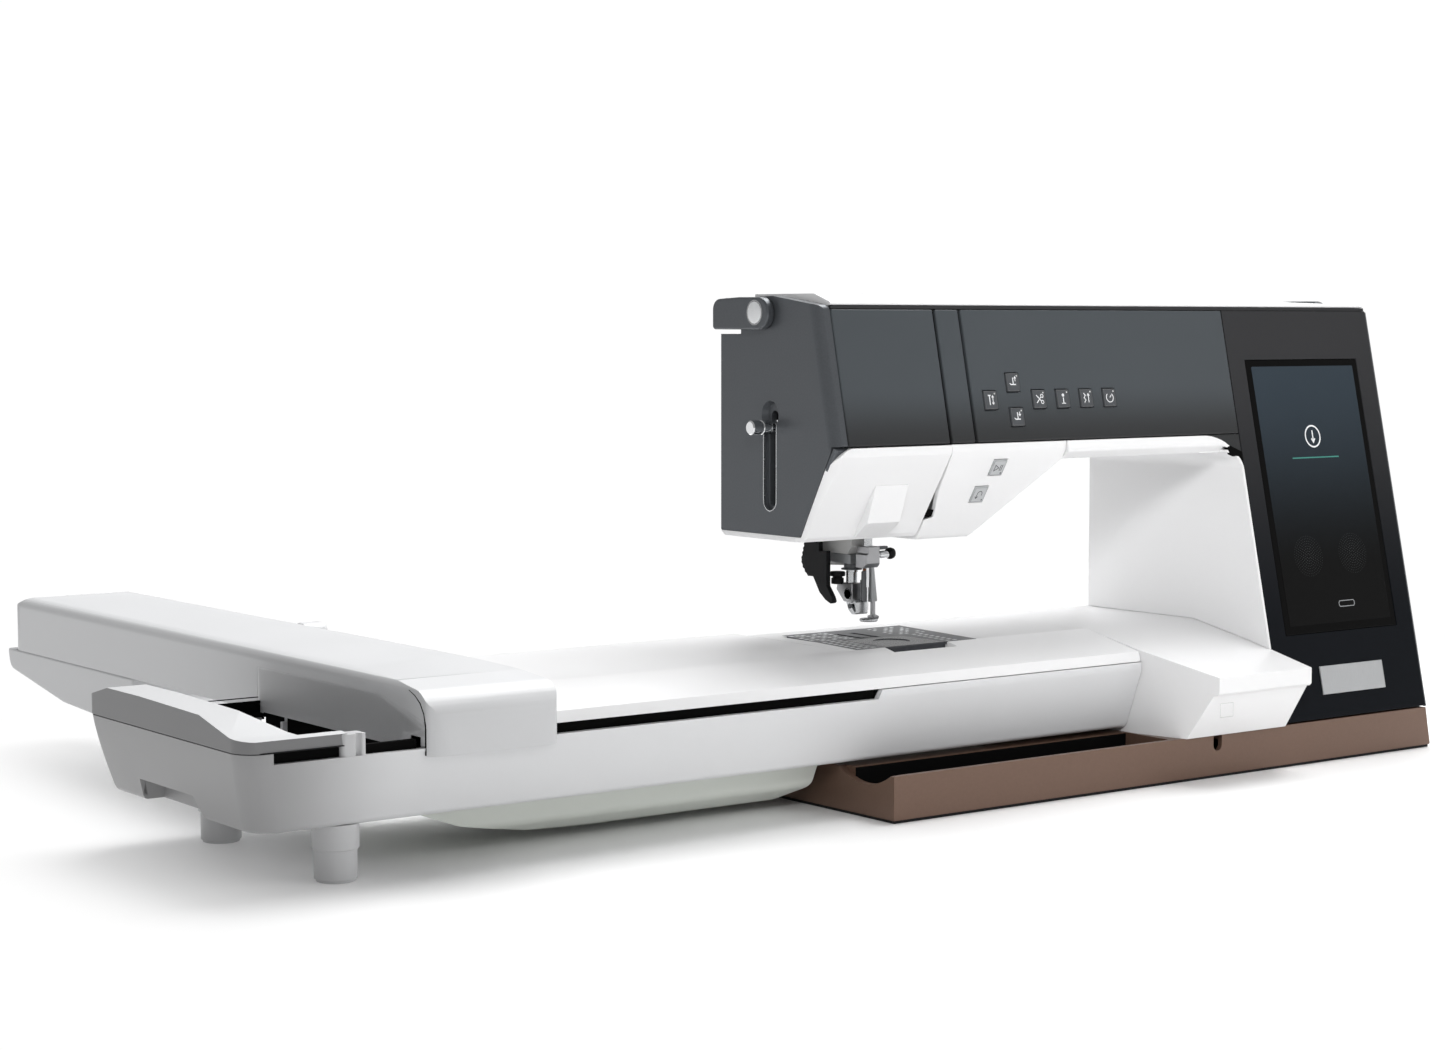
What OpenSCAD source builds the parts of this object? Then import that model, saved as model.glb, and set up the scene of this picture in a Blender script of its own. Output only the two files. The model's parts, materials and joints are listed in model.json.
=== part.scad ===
// Computer sewing machine with its embroidery unit attached.
// +X is to the right, +Y is to the back, +Z is up. The origin is the middle of the
// underside of the base tray, on the surface that the machine stands on.

/* [Base tray] */
// Width of the base tray
tray_w = 500; // [480:1:520]
// Depth of the base tray
tray_d = 188; // [180:1:200]
// Height of the base tray, with its black base plate
tray_h = 29; // [26:1:32]

/* [Machine] */
// Height of the top edge of the front panels
panel_top = 309.6; // [300:0.2:320]
// Height of the lower edge of the dark panels on the arm and head
panel_low = 226; // [220:1:232]
// Angle by which the front leans back
lean = 12.4; // [10:0.1:14]
// Left side of the column
column_left = 95; // [90:1:100]
// Height of the sewing bed
bed_z = 95; // [92:0.5:98]
// Height of the arm's underside
arm_low = 213; // [208:1:218]
// Height of the head's underside
head_low = 163; // [158:1:168]

/* [Stitching] */
// Needle's place from side to side
needle_x = -162; // [-166:1:-158]
// Needle's place from front to back
needle_y = 36.5; // [34:0.5:39]
// Height of the main shaft
shaft_z = 243; // [240:1:246]
// Middle of the bobbin from front to back
hook_y = 12; // [8:1:14]

/* [Buttons] */
// Distance between the buttons on the arm
button_pitch = 21.1; // [18:0.1:24]
// Width of a button on the arm
button_w = 11; // [8:0.5:14]
// Height of a button on the arm
button_h = 12; // [8:0.5:14]
// Travel of a button
button_travel = 1.5; // [1:0.1:2]

/* [Embroidery unit] */
// Left end of the embroidery unit
unit_left = -665; // [-680:1:-640]
// Seam between the unit and the machine's base cover
unit_right = -10.6; // [-14:0.2:-10]
// Height of the lower edge of the unit's front slot
slot_low = 71.5; // [70:0.5:73]
// Height of the upper edge of the unit's front slot
slot_high = 77.7; // [77:0.1:79]
// Left face of the embroidery arm
arm_left = -556; // [-580:1:-540]
// Width of the embroidery arm
arm_w = 84; // [80:1:90]
// Back end of the embroidery arm
arm_back = 530; // [500:5:540]
// Height of the embroidery arm's top
arm_top = 107.5; // [105:0.5:110]

/* [Hidden] */
$fn = 48;
wall = 3;              // moulded cover thickness
gap = 0.4;             // seam between neighbouring covers
tray_l = -tray_w / 2;
tray_r = tray_w / 2;
tray_f = -95;
tray_b = tray_f + tray_d;
plate_t = 2;           // black base plate
back_y = 93;           // outer face of the rear cover
head_l = -260;         // outer face of the head's side plate
front_l = -250;        // left edge of the front panels
front_r = 244.5;       // right edge of the front panels
panel_t = 3;
seam_l = -167;         // left seam of the thread path
seam_r = -145.8;       // right seam of the thread path
seam_w = 2.2;
head_r = -68;          // where the head's slanted side meets the arm
deck_z = 268;          // floor of the storage compartment
shaft_y = 37;
presser_y = needle_y + 15.5;
chin_front = -121;     // front edge of the base cover
free_l = -220;         // left end of the free arm
free_low = 46;         // underside of the free arm
free_front = -13;
arm_r = arm_left + arm_w;
arm_f = -70.5;         // front of the embroidery arm
unit_back = 105;
unit_front = -64;      // front of the unit at the slot
unit_mid = -220.6;     // right end of the unit's wide part
slot_l = unit_left + 18; // left end of the unit's front slot
pit_left = unit_left + 24; // left side of the pit beside the arm
pivot_y = 23;          // carry handle's pivot
pivot_z = 309;
hook_shaft_y = 28.6;
hook_shaft_z = 62;
button_row = 252.1;    // height of the row of buttons

// ---- helpers ----

// depth of the leaning front plane at height z
function front_y(z) = tray_f + tan(lean) * (z - tray_h);
// distance up the leaning plane at height z
function up(z) = (z - tray_h) / cos(lean);

// unit vector
function unit(v) = v / norm(v);
// one corner c of an outline rounded to radius r, coming from p and going to n
function corner(p, c, n, r, steps = 5) =
    r == 0 ? [c] :
    let (a = unit(p - c), b = unit(n - c),
         half = acos(a * b) / 2,
         mid = c + unit(a + b) * r / sin(half),
         start = c + a * r / tan(half) - mid,
         stop = c + b * r / tan(half) - mid,
         from = atan2(start[1], start[0]),
         turn = atan2(stop[1], stop[0]) - from,
         sweep = turn > 180 ? turn - 360 : turn < -180 ? turn + 360 : turn)
    [for (i = [0:steps]) mid + r * [cos(from + sweep * i / steps), sin(from + sweep * i / steps)]];
// outline [x, y, radius] with each corner rounded
function rounded(pts) =
    let (n = len(pts), at = [for (p = pts) [p[0], p[1]]])
    [for (i = [0:n - 1]) each corner(at[(i + n - 1) % n], at[i], at[(i + 1) % n],
        len(pts[i]) > 2 ? pts[i][2] : 0)];

// extrude an outline drawn in (y, z) from x0 to x1
module along_x(x0, x1) {
    translate([x0, 0, 0]) rotate([90, 0, 90]) linear_extrude(x1 - x0) children();
}
// extrude an outline drawn in (x, z) from y0 to y1
module along_y(y0, y1) {
    translate([0, y1, 0]) rotate([90, 0, 0]) linear_extrude(y1 - y0) children();
}
// extrude an outline drawn in (x, y) from z0 to z1
module along_z(z0, z1) {
    translate([0, 0, z0]) linear_extrude(z1 - z0) children();
}
// box from one corner to the other
module block(a, b) { translate(a) cube(b - a); }
// place children on the leaning front plane: x, up the slope, out of the face
module on_front() {
    translate([0, tray_f, tray_h]) rotate([90 - lean, 0, 0]) children();
}
// slab of the front plane between two x, two heights and two depths behind the face
module front_slab(x0, x1, z0, z1, deep, proud = 0) {
    on_front() translate([x0, up(z0), -deep]) cube([x1 - x0, up(z1) - up(z0), deep + proud]);
}
module rod_x(x0, x1, y, z, r) {
    translate([x0, y, z]) rotate([0, 90, 0]) cylinder(h = x1 - x0, r = r);
}
module rod_z(x, y, z0, z1, r) { translate([x, y, z0]) cylinder(h = z1 - z0, r = r); }

// ---- base ----

module base_tray() color("#765a4b") difference() {
    along_y(tray_f, tray_b)
        polygon(rounded([[tray_l, plate_t], [tray_r, plate_t, 1],
                         [tray_r - 5.5, tray_h, 1], [tray_l, tray_h, 1]]));
    // open trough at the front left
    block([tray_l + 5, tray_f + 3.5, 6], [-12, -52, tray_h + 1]);
    // finger scoop in the left end of the trough
    rod_x(tray_l - 1, tray_l + 5.5, -67, tray_h + 35, 43);
    // hollows open to the underside
    block([-8, tray_f + 3.5, 0], [tray_r - 9, tray_b - 4, 25]);
    block([tray_l + 4, -48, 0], [-12, tray_b - 4, 25]);
    // cable notch in the front edge
    block([27, tray_f - 1, 22], [35, tray_f + 12, tray_h + 1]);
    translate([31, tray_f + 12, 22]) rotate([90, 0, 0]) cylinder(h = 13, r = 4);
}

module base_plate() color("#1c1c1e")
    block([tray_l + 1, tray_f + 1, 0], [tray_r - 1, tray_b - 1, plate_t]);

module frame_casting() color("#9fa3a6") difference() {
    union() {
        // column: two side plates and a back web
        for (x = [104, 228]) block([x, -20, tray_h], [x + 6, 80, 264]);
        block([104, 74, tray_h], [234, 80, 264]);
        // arm and head: back web, bearing wall and bar guides
        block([-225, 68, 218], [110, 76, 264]);
        block([-142, 0, 218], [-136, 76, 264]);
        block([-187, 68, 169], [-135, 76, 264]);
        block([needle_x - 8, needle_y - 12, 172], [needle_x + 12, 76, 180]);
        block([needle_x - 7, presser_y - 6, 143], [needle_x + 7, 76, 149]);
        block([needle_x - 7, 68, 143], [needle_x + 7, 76, 172]);
        // ear for the dual feed lever and pin for the take-up lever
        block([-187, 58, 160], [-182, 80, 180]);
        rod_x(-160.4, -140, 8, 236, 2.5);
        // free arm: floor, shaft bearing and its root in the column
        block([-205, -4, 50], [110, 80, 54]);
        block([-120, 18, 54], [-112, 40, 74]);
    }
    rod_x(-145, 240, shaft_y, shaft_z, 4.05);
    rod_x(-125, 240, hook_shaft_y, hook_shaft_z, 4.05);
    rod_z(needle_x, needle_y, 165, 190, 3.05);
    rod_z(needle_x, presser_y, 135, 190, 3.55);
    rod_z(needle_x, hook_y, 45, 60, 4.05);
    rod_x(-190, -180, 72, 170, 2.05);
    // room for the top of the dual feed lever
    block([-181, 60, 160], [-170.4, 86, 185]);
}

// ---- bed ----

module needle_plate_outline(grow) polygon([[-212 - grow, -12.6 - grow], [-110 + grow, -12.6 - grow],
    [-100.5 + grow, 76.5 + grow], [-202 - grow, 76.5 + grow]]);

module free_arm_cover() color("#e9e9ea") difference() {
    along_x(free_l, -10.2)
        polygon(rounded([[free_front, free_low, 8], [back_y, free_low, 8],
                         [back_y, bed_z, 2.5], [free_front, bed_z, 0.8]]));
    along_x(free_l + wall, -9)
        polygon(rounded([[free_front + wall, free_low + wall, 5], [back_y - wall, free_low + wall, 5],
                         [back_y - wall, bed_z - wall], [free_front + wall, bed_z - wall]]));
    along_z(bed_z - 2, bed_z + 1) needle_plate_outline(0.3);
    // access to the hook under the needle plate
    block([-207, -8, bed_z - 6], [-115, 70, bed_z]);
    // room for the bobbin cover's front lip
    block([-189, free_front - 1, bed_z - 4.2], [-136, -8, bed_z + 1]);
}

module base_side(inset) polygon([[tray_f - 3 + inset, tray_h - (inset > 0 ? 1 : 0)],
    [-117 + inset, 59], [-119.5 + inset, 59.5], [chin_front + inset, 61],
    [chin_front + inset, 71.5 - inset], [-62, 85 - inset], [free_front, bed_z - inset],
    [back_y - inset, bed_z - inset], [back_y - inset, tray_h - (inset > 0 ? 1 : 0)]]);
module base_plan(inset) polygon([[-10 + inset, -62], [4 + inset, chin_front + inset],
    [column_left - 2 - inset, chin_front + inset], [column_left - gap, -83],
    [column_left - gap, back_y - inset], [-10 + inset, back_y - inset]]);

module column_base_cover() color("#ececee") difference() {
    intersection() {
        along_x(-12, column_left) base_side(0);
        along_z(tray_h, bed_z) base_plan(0);
    }
    intersection() {
        along_x(-12, column_left + 1) base_side(wall);
        along_z(tray_h - 1, bed_z) base_plan(wall);
    }
    // way through for the free arm's frame
    block([-11, -9, 49.5], [-6, 89, 91.5]);
    // way into the column
    block([90, -20, tray_h - 1], [column_left + 1, 90, 91.5]);
}

module needle_plate() color("#8b8e92") difference() {
    along_z(bed_z - 2, bed_z) needle_plate_outline(0);
    // bobbin cover's place
    block([-188.3, -14, bed_z - 3], [-136.7, 30.3, bed_z + 1]);
    // needle slot and feed slots
    block([needle_x - 4, needle_y - 1.2, bed_z - 3], [needle_x + 4, needle_y + 1.2, bed_z + 1]);
    for (dx = [-6.5, 6.5])
        block([needle_x + dx - 2, 33, bed_z - 3], [needle_x + dx + 2, 62, bed_z + 1]);
}

module bobbin_cover() color("#3a3c40") difference() {
    union() {
        block([-188, -12.6, bed_z - 1.8], [-137, 30, bed_z]);
        block([-188, -12.6, bed_z - 4], [-137, -10.6, bed_z - 1.8]);
    }
    rod_z(needle_x, hook_y, bed_z - 0.5, bed_z + 1, 12);
}

module feed_dog() color("#c4c7ca") {
    block([needle_x - 9, 44, 82], [needle_x + 9, 62, 85]);
    for (dx = [-6.5, 6.5]) difference() {
        block([needle_x + dx - 1.4, 34, 85], [needle_x + dx + 1.4, 60, 91.5]);
        for (i = [0:7]) translate([needle_x + dx, 36 + 3.2 * i, 91.8]) rotate([45, 0, 0])
            cube([4, 1.4, 1.4], center = true);
    }
}

module bobbin_case() color("#55585c") difference() {
    union() {
        rod_z(needle_x, hook_y, 74, 90, 16.4);
        rod_z(needle_x, hook_y, 90, 91.2, 14);
    }
    difference() {
        rod_z(needle_x, hook_y, 75.5, 92, 11.5);
        rod_z(needle_x, hook_y, 75, 89, 3);
    }
}

module rotary_hook() color("#b9bcc0") {
    difference() {
        rod_z(needle_x, hook_y, 70, 88, 20);
        rod_z(needle_x, hook_y, 73, 89, 17);
    }
    rod_z(needle_x, hook_y, 49.4, 70, 4);
    gear_z(needle_x, hook_y, 58, 66, 8.2, 10, 14);
}

// toothed disc about a vertical axis
module gear_z(x, y, z0, z1, root, tip, teeth) {
    translate([x, y, z0]) linear_extrude(z1 - z0) gear_outline(root, tip, teeth);
}
module gear_outline(root, tip, teeth) polygon([for (i = [0:teeth * 4 - 1])
    let (a = i * 90 / teeth, r = i % 4 < 2 ? root : tip) r * [cos(a), sin(a)]]);

module hook_shaft() color("#c9ccd0") {
    rod_x(-172, 236, hook_shaft_y, hook_shaft_z, 4);
    translate([-167, hook_shaft_y, hook_shaft_z]) rotate([0, 90, 0])
        linear_extrude(10) gear_outline(4.4, 6, 14);
    rod_x(206, 216, hook_shaft_y, hook_shaft_z, 14);
}

// ---- column ----

module column_front_panel() color("#2a2d31") difference() {
    front_slab(column_left, front_r, tray_h + 1.2, panel_top + 0.2, 4);
    front_slab(111.5 - gap, 227 + gap, 88 - gap, 275.5 + gap, 2.2, 1);
    front_slab(120, 219, 96, 268, 6, 1);
}

module screen_glass() color("#101418")
    front_slab(111.5, 227, 88, 275.5, 2, -0.2);

module badge_plate() color("#c9cbce") front_slab(139, 204, 46, 65, 0, 1.2);

module lean_cut(x0, x1, z0, z1, behind) along_x(x0, x1)
    polygon([[front_y(z0) + behind, z0], [front_y(z1) + behind, z1], [back_y - 3.4, z1],
             [back_y - 3.4, z0]]);

module column_inner_cover() color("#e6e7e9") intersection() {
    wall_low = 66;
    along_y(-100, back_y) polygon(concat(
        [[column_left + 3, wall_low], [column_left + 3, arm_low + 3], [82.5, arm_low + 3]],
        [for (a = [90:-9:0]) [column_left - 12 + 12 * cos(a), arm_low - 12 + 12 * sin(a)]],
        [[column_left + 0.1, bed_z + gap], [column_left + 0.1, wall_low]]));
    union() {
        lean_cut(80, column_left + 3.1, bed_z + gap, arm_low + 4, 4.6);
        // down beside the slanted front of the base cover
        along_x(80, column_left + 3.1) polygon([[front_y(wall_low) + 4.6, wall_low],
            [front_y(bed_z + 1) + 4.6, bed_z + 1], [-14, bed_z + 1], [-14, wall_low]]);
    }
}

module arm_under_cover() color("#ececee") {
    // strip above the rounded corner of the column
    along_x(81, column_left - gap) polygon([[front_y(panel_low - 1), panel_low - 1], [-52, 217],
        [-48.8, 217], [front_y(panel_low - 1) + wall, panel_low - 1]]);
    along_x(head_r + gap, 82) polygon([[front_y(panel_low - 1), panel_low - 1],
        [-52, 217], [-49, 214], [-45, arm_low], [back_y - 3.4, arm_low],
        [back_y - 3.4, arm_low + wall], [-44, arm_low + wall],
        [-48.8, 218], [front_y(panel_low - 1) + wall, panel_low - 1]]);
}

module right_side_cover() color("#3b3f44") difference() {
    union() {
        along_x(front_r + 0.5, front_r + 5) polygon([[front_y(tray_h) + 0.5, tray_h + 0.3],
            [back_y, tray_h + 0.3], [back_y, 294.2], [46, 294.2], [44, 309], [44, 317], [14, 317],
            [2, 309], [front_y(309), 309]]);
        rod_x(front_r + 1, front_r + 11, pivot_y, pivot_z, 3);
    }
    rod_x(240, 255, shaft_y, shaft_z, 14);
    block([240, 45, 50], [255, 75, 72]);
    // ventilation slots
    for (i = [0:7]) block([240, -30 + 9 * i, 120], [255, -26 + 9 * i, 160]);
}

module power_inlet() color("#17181a") difference() {
    union() {
        block([235, 46, 51], [front_r + 5, 74, 71]);
        block([front_r + 5, 43, 48], [front_r + 6.5, 77, 74]);
    }
    block([238, 50, 54], [front_r + 8, 70, 68]);
}

module rear_cover() color("#e9eaec") {
    // back wall of head, arm and column
    along_y(back_y - 3, back_y) polygon([[-232, head_low], [-122, head_low], [head_r, arm_low],
        [column_left, arm_low], [column_left, tray_h + 0.3], [front_r, tray_h + 0.3],
        [front_r, 294.2], [-232, 294.2]]);
    // bevelled corner behind the head
    along_z(head_low + 6, 294.2) polygon([[-256, 66.4], [-252.4, 66.4], [-232, 89.6], [-232, back_y]]);
    // shelf behind the lid
    along_z(291.2, 294.2) polygon([[-250, 46.6], [front_r, 46.6], [front_r, back_y - 3],
        [-232, back_y - 3], [-250, 69]]);
}

module drive_motor() color("#34373b") difference() {
    union() {
        rod_x(110, 178, shaft_y, shaft_z, 24);
        rod_x(178, 184, shaft_y, shaft_z, 16);
    }
    rod_x(100, 190, shaft_y, shaft_z, 4.6);
}

// closed belt round the main shaft's and the hook shaft's pulleys
module drive_belt() color("#1f2022") {
    dy = shaft_y - hook_shaft_y;
    dz = shaft_z - hook_shaft_z;
    length = norm([dy, dz]);
    translate([207, hook_shaft_y, hook_shaft_z]) rotate([atan2(dz, dy), 0, 0]) rotate([90, 0, 90])
        linear_extrude(8) difference() {
            belt_outline(15.7, length);
            belt_outline(14.2, length);
        }
}
module belt_outline(r, length) {
    circle(r = r);
    translate([length, 0]) circle(r = r);
    translate([0, -r]) square([length, 2 * r]);
}

// ---- head and arm ----

module head_side_plate() color("#4a4d52") difference() {
    union() {
        along_x(head_l, front_l - gap) polygon(rounded([[-31.8, 312, 5], [-50.8, 225.8, 1],
            [-45.6, 225.8], [-45.2, 221.4], [-15.5, 168.6, 3], [66, 168.6, 1], [66, 294.2], [45, 294.2], [44, 317, 2], [12, 318, 8]]));
        // stud that the carry handle turns on
        rod_x(head_l - 6, head_l + 1, pivot_y, pivot_z, 3);
    }
    // inside of the dished plate
    along_x(head_l + 5, front_l) polygon([[-24, 304], [-40, 222], [-12, 174], [61, 174],
        [61, 290], [40, 290], [38, 304]]);
    // threader slot in two steps
    block([head_l - 1, 14.6 - 2.6, 183 + 5], [front_l, 14.6 + 2.6, 249 - 5]);
    rod_x(head_l - 1, front_l, 14.6, 188, 2.6);
    rod_x(head_l - 1, front_l, 14.6, 244, 2.6);
    block([head_l - 1, 14.6 - 4.8, 188], [head_l + 2, 14.6 + 4.8, 244]);
    rod_x(head_l - 1, head_l + 2, 14.6, 188, 4.8);
    rod_x(head_l - 1, head_l + 2, 14.6, 244, 4.8);
}

module head_front_panel() color("#4e5256")
    front_slab(front_l, seam_l - seam_w / 2, panel_low, panel_top, panel_t);

module thread_path_panel() color("#4e5256")
    front_slab(seam_l + seam_w / 2, seam_r - seam_w / 2, panel_low, panel_top, panel_t);

module button_place(column, row) {
    on_front() translate([-24.2 - button_pitch * column, up(button_row) + 11.3 * row, 0]) children();
}
// columns are counted from the right, rows from the main row
button_spots = [[4, 1], [5, 0], [4, -1], [3, 0], [2, 0], [1, 0], [0, 0]];

module arm_front_panel() color("#4e5256") difference() {
    front_slab(seam_r + seam_w / 2, column_left - gap, panel_low, panel_top, panel_t);
    for (spot = button_spots) button_place(spot[0], spot[1])
        translate([0, 0, -2]) cube([button_w + 0.8, button_h + 0.8, 8], center = true);
}

module panel_button(i) color("#3c4044") button_place(button_spots[i][0], button_spots[i][1])
    translate([0, 0, -0.1 - button_travel])
        cube([button_w, button_h, 1.4 + 2 * button_travel], center = true);
module presser_up_button() panel_button(0);
module needle_position_button() panel_button(1);
module presser_down_button() panel_button(2);
module thread_cut_button() panel_button(3);
module stitch_restart_button() panel_button(4);
module stitch_mode_button() panel_button(5);
module speed_button() panel_button(6);

// lower front of the head in (y, z): a leaning wall that turns into the floor
module chin_wall() polygon([[front_y(panel_low - 1), panel_low - 1], [-51, 219],
    [-18.5, head_low + 2.5], [-16, head_low], [back_y - 3.4, head_low],
    [back_y - 3.4, head_low + wall], [-15, head_low + wall], [-47.6, 219.5],
    [front_y(panel_low - 1) + wall, panel_low - 1]]);
// place children on the chin's slanted front at a height
module on_chin(x, z) {
    translate([x, -51 + (219 - z) * 32.5 / 53.5, z]) rotate([90 + 31.3, 0, 0]) children();
}

module head_lower_left() color("#ececee") difference() {
    union() {
        intersection() {
            along_x(-258, -167) chin_wall();
            along_y(-60, 100) polygon([[-258, head_low], [-172.4, head_low], [-172.4, 180],
                                       [-167.2, panel_low], [-258, panel_low]]);
            // rear corner follows the bevel behind the head
            along_z(160, panel_low) polygon([[-261, -60], [-160, -60], [-160, 89.6],
                                             [-233, 89.6], [-252.4, 66.4], [-261, 66.4]]);
        }
        // strip under the side plate
        block([head_l, -16, head_low], [-257, 66, head_low + 5.2]);
    }
    // opening for needle bar, presser bar and dual feed lever
    block([-190, 20, head_low - 1], [-140, 100, head_low + 6]);
}

module head_lower_right() color("#ececee") difference() {
    intersection() {
        union() {
            along_x(-178, head_r) chin_wall();
            // slanted side towards the arm
            along_y(-50, back_y - 3.4) polygon([[-122, head_low], [head_r, arm_low], [head_r, arm_low + 4],
                [-73, arm_low + 4], [-124.5, head_low + 3]]);
        }
        along_y(-60, 100) polygon([[-171.6, head_low], [-122, head_low], [head_r, arm_low],
            [head_r, panel_low], [-166.2, panel_low], [-166.2, 182], [-171.6, 175]]);
        along_x(-180, head_r) polygon([[front_y(panel_low), panel_low], [-51, 219],
            [-18.5, head_low + 2.5], [-16, head_low], [back_y, head_low], [back_y, panel_low]]);
    }
    block([-190, 20, head_low - 1], [-140, 100, head_low + 6]);
    for (spot = [[-122, 209], [-128.6, 191.5]]) on_chin(spot[0], spot[1])
        translate([0, 0, -2]) cube([button_w + 0.8, button_h + 0.8, 12], center = true);
}

module chin_button(x, z) color("#b4b6b9") on_chin(x, z)
    translate([0, 0, -0.1 - button_travel])
        cube([button_w, button_h, 1.4 + 2 * button_travel], center = true);
module start_stop_button() chin_button(-122, 209);
module reverse_button() chin_button(-128.6, 191.5);

module storage_deck() color("#d9dadc") difference() {
    block([-249.6, -28, deck_z], [243, 44, 309]);
    block([-247, -26, deck_z + 2], [241, 42, 310]);
    rod_z(205, 8, deck_z - 1, deck_z + 3, 4.2);
}

module bobbin_winder() color("#d0d3d6") {
    rod_z(205, 8, 262, 290, 3);
    rod_z(205, 8, 262, 266, 7);
    rod_z(205, 8, 274, 277, 11);
}

module top_lid() color("#f0f0f1") intersection() {
    along_x(-249.6, 244) polygon(rounded([[-33.2, 309.8, 1], [-31.5, 313.5, 2], [-16, 319.3, 10],
        [44, 319.3, 0.6], [44, 310.4, 0.6]]));
    along_y(-40, 50) polygon([[-250, 309.4], [245, 309.4], [245, 314], [100, 317.4],
        [-60, 319.3], [-250, 319.3]]);
}

// bail across the back of the top: two end arms and a grip
module carry_handle() color("#4c4f54") {
    for (x = [head_l - 6, front_r + 5.5]) difference() {
        along_x(x, x + 5.6) polygon(rounded([[9, 296.8, 9], [68, 296.8, 3], [68, 317.4, 6], [9, 317.4, 9]]));
        rod_x(x - 1, x + 7, pivot_y, pivot_z, 3.1);
    }
    along_x(head_l - 0.4, front_r + 5.5) polygon(rounded([[47, 296.8, 5], [68, 296.8, 5],
        [68, 317.4, 7], [47, 317.4, 5]]));
}

module threader_knob() color("#d6d8db") {
    rod_x(head_l - 16, head_l - 0.6, 14.6, 236, 4.5);
    rod_x(head_l - 0.6, head_l + 5.4, 14.6, 236, 2.2);
    rod_x(head_l + 5.4, head_l + 8, 14.6, 236, 4.5);
}

module needle_bar() color("#cfd2d5") rod_z(needle_x, needle_y, 141, 262, 3);

module needle_clamp() color("#a9adb1") {
    difference() {
        block([needle_x - 6, needle_y - 6, 141], [needle_x + 6, needle_y + 6, 155]);
        rod_z(needle_x, needle_y, 140, 156, 3);
    }
    rod_x(needle_x + 6, needle_x + 20, needle_y, 150, 1.9);
    translate([needle_x + 21.5, needle_y, 150]) sphere(r = 3.2);
}

module needle() color("#dfe1e3") {
    rod_z(needle_x, needle_y, 128, 141, 1);
    rod_z(needle_x, needle_y, 113, 128, 0.5);
}

module presser_bar() color("#cfd2d5") rod_z(needle_x, presser_y, 137, 262, 3.5);

module foot_ankle() color("#a4a7ab") {
    difference() {
        along_x(needle_x - 5, needle_x + 5) polygon([[45, 137], [67, 137], [69, 128], [61, 118],
            [58, 107.2], [45, 107.2]]);
        rod_x(needle_x - 6, needle_x + 6, 55, 128.6, 3.3);
    }
    rod_z(needle_x, 63.5, 137, 140, 3);
}

module embroidery_foot() color("#b9bbbe") {
    // ring round the needle, its stem and the lifting arm
    difference() {
        rod_z(needle_x, needle_y, 105.4, 107.2, 6);
        rod_z(needle_x, needle_y, 105, 108, 3.2);
    }
    block([needle_x - 2, needle_y + 5.6, 105.4], [needle_x + 2, 50, 107.2]);
    block([needle_x + 4, needle_y - 8.5, 105.4], [needle_x + 7.6, needle_y - 1, 107.2]);
    rod_z(needle_x + 7.4, needle_y - 8, 105.4, 124, 1);
    along_x(needle_x + 6.6, needle_x + 8.2)
        polygon([[30, 147], [33.6, 147], [33.6, 124], [26, 122], [28, 134]]);
}

module dual_feed_lever() color("#161719") {
    along_x(-179, -171) polygon(rounded([[64, 178], [79, 178], [79, 154], [84, 150, 2], [87, 142, 2],
        [81, 134, 2], [73, 129, 3], [60, 115.6, 2], [52, 114, 2], [50, 118, 2], [58, 124, 4],
        [59, 148], [64, 148]]));
    rod_x(-186.6, -171, 72, 170, 2);
}

module take_up_lever() color("#c6c9cc") {
    difference() {
        along_x(-159.4, -156.8) union() {
            polygon([[6, 231], [10, 241], [-32, 256], [-32, 251]]);
            translate([8, 236]) circle(r = 6);
            translate([-32, 253]) circle(r = 4);
        }
        rod_x(-162, -150, 8, 236, 2.56);
        rod_x(-162, -150, -32, 253, 1.6);
    }
}

module main_shaft() color("#c9ccd0") {
    rod_x(-150, 246, shaft_y, shaft_z, 4);
    // crank disc and pin at the head
    rod_x(-150, -143, shaft_y, shaft_z, 15);
    rod_x(-155.6, -150, shaft_y, shaft_z + 11, 2.5);
    // pulley for the hook's belt
    rod_x(206, 216, shaft_y, shaft_z, 14);
}

module handwheel() color("#d8dadc") {
    rod_x(246, 252.5, shaft_y, shaft_z, 12);
    difference() {
        rod_x(250.5, 264, shaft_y, shaft_z, 34);
        rod_x(261, 265, shaft_y, shaft_z, 26);
        for (a = [0:15:345]) translate([0, shaft_y, shaft_z]) rotate([a, 0, 0])
            rod_x(250, 265, 35.6, 0, 2.4);
    }
}

// ---- embroidery unit ----

// plan and left end (x, z) of the unit's body, moved in by inset
module unit_plan(inset) polygon(rounded([[unit_left + inset, unit_front + inset - 1, 14 - inset],
    [unit_right, unit_front + inset - 1], [unit_right, free_front - 0.5 - inset],
    [unit_mid - inset, free_front - 0.5 - inset], [unit_mid - inset, unit_back - inset],
    [arm_left - inset, unit_back - inset], [arm_left - inset, 132 - inset],
    [unit_left + inset, 132 - inset, 8 - inset]]));
module unit_end(inset) polygon([[unit_left + inset, 91], [unit_left + inset, slot_high],
    [unit_left + 14 + inset, 31], [unit_right + 1, 31], [unit_right + 1, 91]]);

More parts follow.
